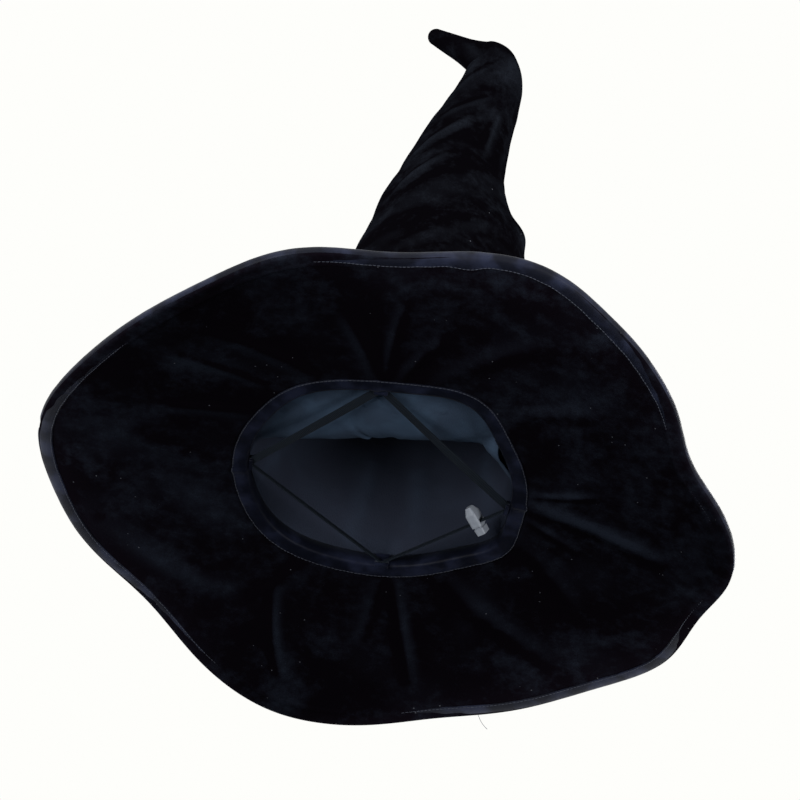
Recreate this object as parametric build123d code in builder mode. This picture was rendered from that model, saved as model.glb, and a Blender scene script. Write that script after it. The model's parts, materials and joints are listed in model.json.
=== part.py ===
from build123d import *
import os
from math import cos, exp, radians, sin

# A velvet witch's hat, sewn from its separate pieces. Millimetres, +Z up along the crown.
# The hat stands on its wavy wired brim: the origin is on that surface, under the brim's middle.

# ---- driving dimensions ---------------------------------------------------------------------
VELVET = 1.2                   # pile fabric, each layer
FOAM = 1.8                     # stiffener between the brim's two velvets
LINING = 1.0
TAPE = 0.8                     # woven tape of both bindings

BRIM_RADIUS = 214.0            # mean plan radius of the velvet
BRIM_DROP = 16.0               # how far the brim falls from its middle to that radius
WAVE_HEIGHT = 10.0             # half height of the rim's slow wave
WAVE_COUNT = 3                 # three low places, which the hat stands on
WAVE_LOW_ANGLE = 105.0         # degrees, where the first low place is
# Where the wire is bent in or out in plan: angle, how far outwards, how wide in degrees.
BRIM_BENDS = (
    (3, 7, 11),
    (31, 10, 12),
    (75, -7, 12),
    (138, -18, 20),
    (182, 11, 17),
    (263, -9, 13),
    (289, 7, 10),
    (318, -5, 10),
    (335, -15, 12),
)
BRIM_BINDING_WIDTH = 8.5       # of tape that shows on each face of the brim
WIRE_RADIUS = 0.5
WIRE_INSET = 1.6               # wire centre, in from the velvet's edge
FERRULE_BORE = 0.64
FERRULE_RADIUS = 0.88
FERRULE_ANGLE = 278.0          # where the wire's ends meet
FERRULE_HALF_TURN = 2.6        # degrees of the rim that the ferrule covers to each side
WIRE_GAP_HALF_TURN = 0.2

OPENING_CENTRE = (-7.0, -6.0)
OPENING_X = 86.0               # half width of the head opening, side to side
OPENING_Y = 82.0               # half width, front to back
HEAD_BINDING_WIDTH = 9.0       # flat on the brim's underside
HEAD_BINDING_RISE = 10.0       # how far the tape stands up inside the opening

# The crown's outside: height over the brim, centre x and y, half widths x and y.
CROWN_STATIONS = (
    (-5, -7, -6, 91.5, 87.5),
    (70, -5, -6, 79, 76),
    (150, 1, -8, 66, 64),
    (215, 5, -11, 54, 52),
    (260, 1, -14, 43, 42),
    (310, 5, -20, 33, 32),
    (350, 16, -28, 22.5, 22),
    (368, 20.5, -32, 18.4, 18.2),
)
LINING_APEX = (342, 11, -25, 6, 6)
TIP_HINGE = (21, -33, 372)     # over the brim, where the crown's end folds
SOCKET_RADIUS = 17.0
TIP_BALL_RADIUS = 16.2
TIP_ANGLE = 70.0               # of the folded tip, from upright
SOCKET_ANGLE = 62.0            # of the socket's mouth
TIP_LENGTH = 42.0
TIP_ROOT_RADIUS = 11.5
TIP_END_RADIUS = 5.5

# The near side of the lining sags inwards: its fold seen from the side, y and height over the brim.
SAG_FOLD = ((-88, 3), (-60, 5), (-37, 12), (-27, 25), (-38, 42), (-62, 57), (-88, 68))
SAG_HALF_LENGTH = 120.0

ELASTIC_WIDTH = 6.0
ELASTIC_HEIGHT = -1.5          # beside the crown's foot, half way up the brim's edge
ELASTIC_LEAN = 65.0            # degrees, how steeply the far tape stands on its edge
TACK_ANGLES = {"left": 175.0, "near": 264.0, "right": 6.0, "far": 83.0}
TACK_SIZE = (9.0, 2.4, 2.4)    # along the binding, into it, upwards

LOCK_FROM_TACK = 25.5          # along the far tape from the right tack
LOCK_WIDTH = 7.4               # along the tape
LOCK_DEPTH = 9.8               # across the tape
LOCK_LENGTH = 13.6
LOCK_STRAIGHT = 9.0            # before the body narrows to its nose
LOCK_NOSE = 0.55               # the nose's end, as a share of the body's width
LOCK_WALL = 0.9
LOCK_MOUTH = 2.3               # how far the body reaches past the tape
PLUNGER_FIT = 0.12
PLUNGER_TRAVEL = 1.4
PLUNGER_HEAD = 4.4
PLUNGER_REACH = 4.2            # of its stem beyond the tape
LOCK_BORE = LOCK_MOUTH + PLUNGER_REACH + PLUNGER_TRAVEL + 0.3
SLOT_PLAY = 0.3
GAP = 0.1                      # between fabrics that lie on each other

FULL = 360.0
OUTLINE_POINTS = 48
SHEET_HALF = 245.0             # the curved sheet that the brim's layers are cut from
SHEET_CELLS = 10


# ---- the brim's shape -----------------------------------------------------------------------
def turn_between(angle, other):
    """Smallest turn from one angle to the other, in degrees."""
    return (angle - other + 180) % FULL - 180


def bent_radius(angle):
    """Plan radius of the velvet's edge, from the brim's own middle."""
    return BRIM_RADIUS + sum(
        outwards * exp(-((turn_between(angle, at) / width) ** 2)) for at, outwards, width in BRIM_BENDS
    )


def sheet_height(x, y):
    """The brim's height: a shallow dome with a wave that grows towards the rim."""
    reach = (x * x + y * y) ** 0.5 / BRIM_RADIUS
    wave = (complex(x, y) / BRIM_RADIUS * complex(cos(LOW), -sin(LOW))) ** WAVE_COUNT
    return -BRIM_DROP * reach**2 - WAVE_HEIGHT * wave.real


LOW = radians(WAVE_LOW_ANGLE)
ANGLES = [FULL * step / OUTLINE_POINTS for step in range(OUTLINE_POINTS)]
EDGE_X = [bent_radius(angle) * cos(radians(angle)) for angle in range(360)]
EDGE_Y = [bent_radius(angle) * sin(radians(angle)) for angle in range(360)]
MIDDLE = ((max(EDGE_X) + min(EDGE_X)) / 2, (max(EDGE_Y) + min(EDGE_Y)) / 2)


def edge_point(angle, inset=0.0):
    """A point of the brim's edge in plan, with the brim's box centred on the origin."""
    radius = bent_radius(angle) - inset
    return (radius * cos(radians(angle)) - MIDDLE[0], radius * sin(radians(angle)) - MIDDLE[1])


BASE = TAPE - min(sheet_height(*edge_point(angle, -TAPE)) for angle in range(360))
BRIM = VELVET + FOAM + VELVET
SEAT = BASE + BRIM + sheet_height(OPENING_X, 0)   # the brim's top beside the opening
CUT_FROM = -20.0               # the brim's pieces are cut out between these heights
CUT_HEIGHT = 90.0


def wavy_slab(bottom, thickness):
    """A square of curved sheet, from a height over the brim's underside, straight up."""
    cell = 2 * SHEET_HALF / SHEET_CELLS
    stations = [cell * step - SHEET_HALF for step in range(SHEET_CELLS + 1)]
    grid = [[Vector(x, y, BASE + bottom + sheet_height(x, y)) for y in stations] for x in stations]
    sheet = Face.make_surface_from_array_of_points(grid, tol=0.001)
    return Solid.extrude(sheet, Vector(0, 0, thickness))


def edge_disc(inset):
    """The plan of the brim with its edge moved in, as low as cutting starts."""
    with BuildSketch(Plane.XY.offset(CUT_FROM)) as disc:
        with BuildLine():
            Spline(*[edge_point(angle, inset) for angle in ANGLES], periodic=True)
        make_face()
    return disc.sketch


def opening_oval(growth):
    """The plan of the head opening made larger, as low as cutting starts."""
    with BuildSketch(Plane.XY.offset(CUT_FROM)) as oval:
        with Locations(OPENING_CENTRE):
            Ellipse(OPENING_X + growth, OPENING_Y + growth)
    return oval.sketch


def save(piece, name):
    """Label a finished piece and write it."""
    piece.part.label = name
    export_step(piece.part, f"parts/{name}.step")


os.makedirs("parts", exist_ok=True)


# ---- brim -----------------------------------------------------------------------------------
def brim_layer(name, bottom, thickness, inset):
    """One ring of the brim, cut from the curved sheet."""
    with BuildPart() as layer:
        add(wavy_slab(bottom, thickness))
        extrude(edge_disc(inset), amount=CUT_HEIGHT, mode=Mode.INTERSECT)
        extrude(opening_oval(0), amount=CUT_HEIGHT, mode=Mode.SUBTRACT)
    save(layer, name)
    return layer


brim_underside_velvet = brim_layer("brim_underside_velvet", 0, VELVET, 0)
brim_interlining = brim_layer("brim_interlining", VELVET, FOAM, 2 * WIRE_INSET + WIRE_RADIUS)
brim_top_velvet = brim_layer("brim_top_velvet", VELVET + FOAM, VELVET, 0)

with BuildPart() as whole_brim:
    add(wavy_slab(0, BRIM))
    extrude(edge_disc(0), amount=CUT_HEIGHT, mode=Mode.INTERSECT)

with BuildPart() as brim_binding:
    add(wavy_slab(-TAPE, BRIM + 2 * TAPE))
    extrude(edge_disc(-TAPE), amount=CUT_HEIGHT, mode=Mode.INTERSECT)
    extrude(edge_disc(BRIM_BINDING_WIDTH), amount=CUT_HEIGHT, mode=Mode.SUBTRACT)
    add(whole_brim.part, mode=Mode.SUBTRACT)
save(brim_binding, "brim_binding")


def wire_point(angle):
    """A point of the wire's centre line, between the two velvets."""
    x, y = edge_point(angle, WIRE_INSET)
    return (x, y, BASE + sheet_height(x, y) + BRIM / 2)


def rim_tube(name, first, last, steps, outside, bore):
    """A rod or tube that follows the rim from one angle to another."""
    turn = (last - first) / steps
    with BuildLine() as path:
        Spline(*[wire_point(first + turn * step) for step in range(steps + 1)])
    line = path.edges()[0]
    with BuildPart() as tube:
        for mode, radius in ((Mode.ADD, outside), (Mode.SUBTRACT, bore)):
            if radius:
                rings = []
                for step in range(steps + 1):
                    along = step / steps
                    with BuildSketch(Plane(origin=line @ along, z_dir=line % along)) as ring:
                        Circle(radius)
                    rings.append(ring.sketch)
                loft(rings, mode=mode)
    save(tube, name)
    return tube


brim_wire = rim_tube(
    "brim_wire",
    FERRULE_ANGLE + WIRE_GAP_HALF_TURN,
    FERRULE_ANGLE + FULL - WIRE_GAP_HALF_TURN,
    OUTLINE_POINTS,
    WIRE_RADIUS,
    0,
)
brim_wire_ferrule = rim_tube(
    "brim_wire_ferrule",
    FERRULE_ANGLE - FERRULE_HALF_TURN,
    FERRULE_ANGLE + FERRULE_HALF_TURN,
    4,
    FERRULE_RADIUS,
    FERRULE_BORE,
)

# ---- head opening ---------------------------------------------------------------------------
with BuildPart() as binding_flat:
    add(wavy_slab(-TAPE, TAPE))
    extrude(opening_oval(HEAD_BINDING_WIDTH), amount=CUT_HEIGHT, mode=Mode.INTERSECT)

with BuildPart() as head_binding:
    add(wavy_slab(-TAPE, TAPE + BRIM + HEAD_BINDING_RISE))
    extrude(opening_oval(0), amount=CUT_HEIGHT, mode=Mode.INTERSECT)
    add(binding_flat.part)
    extrude(opening_oval(-TAPE), amount=CUT_HEIGHT, mode=Mode.SUBTRACT)
save(head_binding, "head_binding")


# ---- crown ----------------------------------------------------------------------------------
def crown_form(stations, shrink):
    """A solid through oval stations of the crown, made thinner all round."""
    with BuildPart() as form:
        for height, x, y, half_x, half_y in stations:
            with BuildSketch(Plane((x, y, SEAT + height))):
                Ellipse(half_x - shrink, half_y - shrink)
        loft(ruled=True)
    return form.part


def lean(angle):
    """The direction that leans to -X by an angle from upright."""
    return (-sin(radians(angle)), 0, cos(radians(angle)))


HINGE = (TIP_HINGE[0], TIP_HINGE[1], SEAT + TIP_HINGE[2])

with BuildPart() as crown_velvet:
    add(crown_form(CROWN_STATIONS, 0))
    with Locations(HINGE):
        Sphere(SOCKET_RADIUS + VELVET)
    add(crown_form(CROWN_STATIONS, VELVET), mode=Mode.SUBTRACT)
    with Locations(HINGE):
        Sphere(SOCKET_RADIUS, mode=Mode.SUBTRACT)
    with BuildSketch(Plane(origin=HINGE, z_dir=lean(SOCKET_ANGLE))):
        Circle(SOCKET_RADIUS + 1.5 * VELVET)
    extrude(amount=2 * SOCKET_RADIUS, mode=Mode.SUBTRACT)
    add(wavy_slab(CUT_FROM, BRIM - CUT_FROM), mode=Mode.SUBTRACT)
save(crown_velvet, "crown_velvet")

with BuildPart() as crown_tip:
    tip_plane = Plane(origin=HINGE, z_dir=lean(TIP_ANGLE))
    for mode, skin in ((Mode.ADD, 0), (Mode.SUBTRACT, VELVET)):
        with Locations(HINGE):
            Sphere(TIP_BALL_RADIUS - skin, mode=mode)
        with BuildSketch(tip_plane):
            Circle(TIP_ROOT_RADIUS - skin)
        with BuildSketch(tip_plane.offset(TIP_LENGTH)):
            Circle(TIP_END_RADIUS - skin)
        loft(mode=mode)
        with Locations(tip_plane.offset(TIP_LENGTH).origin):
            Sphere(TIP_END_RADIUS - skin, mode=mode)
save(crown_tip, "crown_tip")

LINING_STATIONS = (*CROWN_STATIONS[:-2], LINING_APEX)
with BuildPart() as crown_lining:
    add(crown_form(LINING_STATIONS, VELVET + GAP))
    add(crown_form(LINING_STATIONS, VELVET + GAP + LINING), mode=Mode.SUBTRACT)
    add(wavy_slab(CUT_FROM, BRIM - CUT_FROM), mode=Mode.SUBTRACT)
save(crown_lining, "crown_lining")

with BuildPart() as lining_sag:
    with BuildSketch(Plane.YZ):
        with BuildLine() as fold:
            Spline(*[(y, SEAT + height) for y, height in SAG_FOLD])
        trace(fold.line, line_width=LINING)
    extrude(amount=SAG_HALF_LENGTH, both=True)
    add(crown_form(LINING_STATIONS, VELVET + 2 * GAP + LINING), mode=Mode.INTERSECT)
    extrude(opening_oval(-TAPE - GAP), amount=2 * CUT_HEIGHT, mode=Mode.INTERSECT)
save(lining_sag, "lining_sag")

# ---- size adjuster --------------------------------------------------------------------------
TAPE_LEVEL = SEAT + ELASTIC_HEIGHT


def tack_place(name):
    """Where the elastic is tacked to the head binding."""
    angle = radians(TACK_ANGLES[name])
    reach = (OPENING_X - TAPE - GAP, OPENING_Y - TAPE - GAP)
    return Vector(
        OPENING_CENTRE[0] + reach[0] * cos(angle), OPENING_CENTRE[1] + reach[1] * sin(angle), TAPE_LEVEL
    )


LEFT, NEAR, RIGHT, FAR = (tack_place(name) for name in ("left", "near", "right", "far"))
inside_binding = extrude(opening_oval(-TAPE - GAP), amount=CUT_HEIGHT)

with BuildPart() as elastic_near:
    with BuildSketch(Plane.XY.offset(TAPE_LEVEL)):
        with BuildLine() as near_run:
            Polyline(LEFT, NEAR, RIGHT)
        trace(near_run.line, line_width=ELASTIC_WIDTH)
    extrude(amount=TAPE / 2, both=True)
    add(inside_binding, mode=Mode.INTERSECT)
save(elastic_near, "elastic_near")


def span_plane(start, end):
    """A plane at a span's start: X along it, Y across the leaning tape, Z out of its outer face."""
    along = (end - start).normalized()
    outwards = Vector(0, 0, 1).cross(along)
    if outwards.dot(start + end - Vector(*OPENING_CENTRE, TAPE_LEVEL) * 2) < 0:
        outwards = -outwards
    across = outwards * cos(radians(ELASTIC_LEAN)) + Vector(0, 0, sin(radians(ELASTIC_LEAN)))
    return Plane(origin=start, x_dir=along, z_dir=along.cross(across))


with BuildPart() as elastic_far:
    for start, end in ((RIGHT, FAR), (LEFT, FAR)):
        with BuildSketch(span_plane(start, end)):
            with Locations((ELASTIC_WIDTH, 0)):
                Rectangle((end - start).length - ELASTIC_WIDTH, ELASTIC_WIDTH, align=(Align.MIN, Align.CENTER))
        extrude(amount=TAPE / 2, both=True)
    add(inside_binding, mode=Mode.INTERSECT)
save(elastic_far, "elastic_far")

with BuildPart() as elastic_tacks:
    for name in TACK_ANGLES:
        inwards = (Vector(*OPENING_CENTRE, TAPE_LEVEL) - tack_place(name)).normalized()
        tape_half = ELASTIC_WIDTH * sin(radians(ELASTIC_LEAN)) / 2 + GAP if name == "far" else TAPE / 2
        rise = (TACK_SIZE[2] + GAP) / 2 + tape_half
        place = tack_place(name) + inwards * 3 * GAP
        with BuildSketch(Plane(origin=place, x_dir=Vector(0, 0, 1).cross(inwards), z_dir=inwards)):
            with Locations((0, rise), (0, -rise)):
                RectangleRounded(TACK_SIZE[0], TACK_SIZE[2], TACK_SIZE[2] / 3)
        extrude(amount=TACK_SIZE[1])
save(elastic_tacks, "elastic_tacks")

# ---- cord lock on the far elastic -----------------------------------------------------------
far_span = span_plane(RIGHT, FAR)
lock_plane = far_span.shift_origin(far_span.origin + far_span.x_dir * LOCK_FROM_TACK)
PLUNGER_WIDTH = LOCK_WIDTH - 2 * LOCK_WALL
PLUNGER_DEPTH = LOCK_DEPTH - 2 * LOCK_WALL
SLOT_LENGTH = ELASTIC_WIDTH + 2 * SLOT_PLAY
SLOT_NEAR = TAPE / 2 + SLOT_PLAY           # slot edge that nips the tape
SLOT_FAR = SLOT_NEAR + PLUNGER_TRAVEL


def tape_slot(first, last):
    """A cutter for the tape's slot, between two heights of the lock, right through it."""
    with BuildSketch(Plane(lock_plane.origin, x_dir=lock_plane.y_dir, z_dir=lock_plane.x_dir)) as slot:
        with Locations((0, (first + last) / 2)):
            Rectangle(SLOT_LENGTH, last - first)
    return extrude(slot.sketch, amount=LOCK_WIDTH, both=True)


body_slot = tape_slot(-SLOT_FAR, SLOT_NEAR)
plunger_slot = tape_slot(-SLOT_NEAR, SLOT_FAR)


with BuildPart() as cord_lock_body:
    with BuildSketch(lock_plane.offset(LOCK_MOUTH)):
        RectangleRounded(LOCK_WIDTH, LOCK_DEPTH, 1.6)
    with BuildSketch(lock_plane.offset(LOCK_MOUTH - LOCK_STRAIGHT)):
        RectangleRounded(LOCK_WIDTH, LOCK_DEPTH, 1.6)
    with BuildSketch(lock_plane.offset(LOCK_MOUTH - LOCK_LENGTH)):
        RectangleRounded(LOCK_WIDTH * LOCK_NOSE, LOCK_DEPTH * LOCK_NOSE, 1.2)
    loft(ruled=True)
    with BuildSketch(lock_plane.offset(LOCK_MOUTH)):
        RectangleRounded(PLUNGER_WIDTH, PLUNGER_DEPTH, 0.8)
    extrude(amount=-LOCK_BORE, mode=Mode.SUBTRACT)
    add(body_slot, mode=Mode.SUBTRACT)
save(cord_lock_body, "cord_lock_body")

with BuildPart() as cord_lock_plunger:
    with BuildSketch(lock_plane.offset(-PLUNGER_REACH)):
        RectangleRounded(PLUNGER_WIDTH - 2 * PLUNGER_FIT, PLUNGER_DEPTH - 2 * PLUNGER_FIT, 0.7)
    extrude(amount=PLUNGER_REACH + LOCK_MOUTH + PLUNGER_TRAVEL + GAP)
    with BuildSketch(lock_plane.offset(LOCK_MOUTH + PLUNGER_TRAVEL + GAP)):
        RectangleRounded(LOCK_WIDTH - 0.6, LOCK_DEPTH - 1.0, 1.4)
    extrude(amount=PLUNGER_HEAD, taper=4)
    add(plunger_slot, mode=Mode.SUBTRACT)
save(cord_lock_plunger, "cord_lock_plunger")
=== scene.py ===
import json
import logging
import math
from dataclasses import dataclass, field
from enum import Enum

import bmesh
import bpy
import numpy as np
from mathutils import Matrix, Vector, noise
from mathutils.bvhtree import BVHTree


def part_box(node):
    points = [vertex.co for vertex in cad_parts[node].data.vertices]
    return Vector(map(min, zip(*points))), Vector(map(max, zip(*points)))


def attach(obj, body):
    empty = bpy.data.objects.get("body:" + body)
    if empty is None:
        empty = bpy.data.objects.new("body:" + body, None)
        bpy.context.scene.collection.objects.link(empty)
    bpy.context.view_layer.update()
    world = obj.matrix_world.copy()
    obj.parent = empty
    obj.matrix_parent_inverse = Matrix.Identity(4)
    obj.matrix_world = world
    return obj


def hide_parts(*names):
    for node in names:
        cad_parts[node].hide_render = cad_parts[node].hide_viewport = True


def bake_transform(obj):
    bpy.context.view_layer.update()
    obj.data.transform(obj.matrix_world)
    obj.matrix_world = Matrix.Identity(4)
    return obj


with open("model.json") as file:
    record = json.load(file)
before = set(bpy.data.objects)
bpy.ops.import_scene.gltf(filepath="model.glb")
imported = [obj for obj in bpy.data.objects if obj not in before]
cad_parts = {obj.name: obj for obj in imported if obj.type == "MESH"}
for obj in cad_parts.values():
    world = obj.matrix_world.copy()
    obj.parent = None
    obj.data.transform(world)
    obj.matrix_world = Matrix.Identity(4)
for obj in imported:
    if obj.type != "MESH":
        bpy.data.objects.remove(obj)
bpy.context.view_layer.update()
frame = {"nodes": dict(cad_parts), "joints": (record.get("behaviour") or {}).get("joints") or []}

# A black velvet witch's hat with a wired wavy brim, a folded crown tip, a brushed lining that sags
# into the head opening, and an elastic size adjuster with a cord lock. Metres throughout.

MM = 0.001
LOG = logging.getLogger("witch_hat")
Array = np.ndarray


class Side(Enum):
    """Which face of a flat piece is meant."""

    UNDER = -1
    TOP = 1


# ---- mesh helpers ---------------------------------------------------------------------------
def new_piece(name: str, mesh: bpy.types.Mesh, material: bpy.types.Material) -> bpy.types.Object:
    """Put a mesh into the scene as a smooth shaded piece.

    Args:
        name: The piece's name.
        mesh: Its mesh, already in place.
        material: Its finish.

    Returns:
        The new object, at the origin.
    """
    piece = bpy.data.objects.new(name, mesh)
    bpy.context.scene.collection.objects.link(piece)
    mesh.materials.clear()
    mesh.materials.append(material)
    mesh.polygons.foreach_set("use_smooth", [True] * len(mesh.polygons))
    return piece


def grid_faces(rows: int, columns: int, start: int, flip: bool) -> list[tuple[int, int, int, int]]:
    """Quads of a grid whose columns close on themselves.

    Args:
        rows: How many rows of points.
        columns: Points in each row.
        start: Index of the first point.
        flip: Whether the faces look the other way.

    Returns:
        The quads.
    """
    faces = []
    for row in range(rows - 1):
        for column in range(columns):
            a = start + row * columns + column
            b = start + row * columns + (column + 1) % columns
            quad = (a, b, b + columns, a + columns)
            faces.append(quad[::-1] if flip else quad)
    return faces


def ring_sheet(name: str, outer: Array, inner: Array, flip: bool = False) -> bpy.types.Mesh:
    """A closed shell between two grids of rows by columns, round an opening.

    Args:
        name: The mesh's name.
        outer: Points of the visible face, rows by columns by three.
        inner: Points of the hidden face, in the same order.
        flip: Whether the visible face's quads run the other way.

    Returns:
        The shell's mesh.
    """
    rows, columns = outer.shape[:2]
    count = rows * columns
    points = np.concatenate([outer.reshape(-1, 3), inner.reshape(-1, 3)])
    faces = grid_faces(rows, columns, 0, flip) + grid_faces(rows, columns, count, not flip)
    for row in (0, rows - 1):
        for column in range(columns):
            a = row * columns + column
            b = row * columns + (column + 1) % columns
            quad = (a, a + count, b + count, b)
            faces.append(quad[::-1] if flip == (row == 0) else quad)
    mesh = bpy.data.meshes.new(name)
    mesh.from_pydata(points.tolist(), [], faces)
    mesh.update()
    return mesh


def tube_mesh(name: str, rings: Array, flip: bool = False) -> bpy.types.Mesh:
    """A mesh through rings whose last ring meets the first, such as a band round a rim.

    Args:
        name: The mesh's name.
        rings: Points, rings by ring points by three.
        flip: Whether the faces look the other way.

    Returns:
        The mesh.
    """
    count, around = rings.shape[:2]
    faces = []
    for ring in range(count):
        for point in range(around):
            a = ring * around + point
            b = ring * around + (point + 1) % around
            c = (ring + 1) % count * around + (point + 1) % around
            d = (ring + 1) % count * around + point
            faces.append((d, c, b, a) if flip else (a, b, c, d))
    mesh = bpy.data.meshes.new(name)
    mesh.from_pydata(rings.reshape(-1, 3).tolist(), [], faces)
    mesh.update()
    return mesh


def open_tube_mesh(name: str, rings: Array) -> bpy.types.Mesh:
    """A closed mesh through rings, with its first and last ring capped."""
    count, around = rings.shape[:2]
    faces = []
    for ring in range(count - 1):
        for point in range(around):
            a, b = ring * around + point, ring * around + (point + 1) % around
            faces.append((a, b, b + around, a + around))
    faces.append(tuple(range(around))[::-1])
    faces.append(tuple(range((count - 1) * around, count * around)))
    mesh = bpy.data.meshes.new(name)
    mesh.from_pydata(rings.reshape(-1, 3).tolist(), [], faces)
    mesh.update()
    return mesh


def ribbon_mesh(name: str, centres: Array, across: Array, faces_out: Array, width: float, thick: float):
    """A flat tape along a line, with rounded long edges and closed ends.

    Args:
        name: The mesh's name.
        centres: Points of the tape's middle.
        across: Unit vectors over its width, one at each point.
        faces_out: Unit vectors out of its face, one at each point.
        width: The tape's width.
        thick: Its thickness.

    Returns:
        The mesh, with a UV map in metres: U along the tape, V across it.
    """
    profile = [(-0.5, 0.0), (-0.46, 0.42), (-0.3, 0.5), (0.0, 0.5), (0.3, 0.5), (0.46, 0.42)]
    profile += [(-u, -v) for u, v in profile]
    count = len(centres)
    rings = np.array(
        [
            [centres[i] + across[i] * u * width + faces_out[i] * v * thick for u, v in profile]
            for i in range(count)
        ]
    )
    around = len(profile)
    faces = []
    for i in range(count - 1):
        for j in range(around):
            a, b = i * around + j, i * around + (j + 1) % around
            faces.append((a, b, b + around, a + around))
    faces.append(tuple(range(around))[::-1])
    faces.append(tuple(range((count - 1) * around, count * around)))
    mesh = bpy.data.meshes.new(name)
    mesh.from_pydata(rings.reshape(-1, 3).tolist(), [], faces)
    along = np.concatenate([[0], np.cumsum(np.linalg.norm(np.diff(centres, axis=0), axis=1))])
    layer = mesh.uv_layers.new(name="tape")
    for loop in mesh.loops:
        i, j = divmod(loop.vertex_index, around)
        layer.data[loop.index].uv = (along[i], profile[j][0] * width)
    mesh.update()
    face_normals_outwards(mesh)
    return mesh


def face_normals_outwards(mesh: bpy.types.Mesh) -> None:
    """Recalculate a closed mesh's normals so that its faces point outwards."""
    work = bmesh.new()
    work.from_mesh(mesh)
    bmesh.ops.recalc_face_normals(work, faces=work.faces)
    work.to_mesh(mesh)
    work.free()


def smooth_closed(values: Array, passes: int) -> Array:
    """Average each value with its neighbours round a closed ring, several times."""
    for _ in range(passes):
        values = (np.roll(values, 1) + 2 * values + np.roll(values, -1)) / 4
    return values


def smooth_open(values: Array, passes: int) -> Array:
    """Average each value with its neighbours along a line whose ends stay."""
    values = values.copy()
    for _ in range(passes):
        values[1:-1] = (values[:-2] + 2 * values[1:-1] + values[2:]) / 4
    return values


def turn_between(angle: Array | float, other: float) -> Array | float:
    """Smallest turn from one angle to another, in degrees."""
    return (angle - other + 180) % 360 - 180


@dataclass(frozen=True)
class Crease:
    """A fold in cloth, from one place to another: an angle in degrees and a reach in millimetres."""

    start: tuple[float, float]
    end: tuple[float, float]
    width: float
    lift: float

    def over(self, angle: Array, reach: Array, radius: Array) -> Array:
        """The fold's height over a surface.

        Args:
            angle: Angle of each point, in degrees.
            reach: Radius or height of each point, in millimetres.
            radius: Radius that turns an angle into a length, in millimetres.

        Returns:
            The height at each point, in metres.
        """
        turn = np.radians(turn_between(angle, self.start[0])) * radius
        end_turn = np.radians(turn_between(self.end[0], self.start[0])) * radius
        rise = reach - self.start[1]
        end_rise = self.end[1] - self.start[1]
        length = end_turn**2 + end_rise**2 + 1e-9
        along = np.clip((turn * end_turn + rise * end_rise) / length, 0, 1)
        gap = np.hypot(turn - along * end_turn, rise - along * end_rise)
        fade = np.sin(np.pi * (0.12 + 0.76 * along))
        return self.lift * MM * np.exp(-((gap / self.width) ** 2)) * fade


@dataclass(frozen=True)
class Bend:
    """A round swelling of an outline: its angle and spread in degrees, and how far out it goes."""

    angle: float
    out: float
    spread: float

    def over(self, angles: Array) -> Array:
        """How far out it goes at each angle, in metres."""
        return self.out * MM * np.exp(-((turn_between(angles, self.angle) / self.spread) ** 2))


def rolling(points: Array, size: float, seed: float) -> Array:
    """Slow smooth noise at each point, about -1 to 1.

    Args:
        points: Points, any shape by three, in metres.
        size: Size of the swells, in metres.
        seed: Moves the pattern.

    Returns:
        The noise, in the points' shape without its last axis.
    """
    flat = points.reshape(-1, 3) / size
    shift = Vector((seed, seed * 1.7, -seed))
    values = [noise.noise(Vector(point) + shift) * 1.6 for point in flat]
    return np.array(values).reshape(points.shape[:-1])


@dataclass
class Probe:
    """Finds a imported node's surface with straight lines."""

    node: str
    tree: BVHTree = field(init=False)

    def __post_init__(self) -> None:
        """Read the node's mesh once."""
        mesh = frame["nodes"][self.node].data
        self.tree = BVHTree.FromPolygons(
            [vertex.co.copy() for vertex in mesh.vertices], [tuple(face.vertices) for face in mesh.polygons]
        )

    def height(self, x: float, y: float, side: Side) -> float | None:
        """Height of the node's upper or lower face over a place, or None where it has none."""
        hit = self.tree.ray_cast(Vector((x, y, side.value)), Vector((0, 0, -side.value)))[0]
        return None if hit is None else hit.z

    def from_side(self, target: Vector, direction: Vector) -> Vector | None:
        """First place met on the way to a target from half a metre away, against a direction."""
        return self.tree.ray_cast(target + direction * 0.5, -direction)[0]


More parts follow.
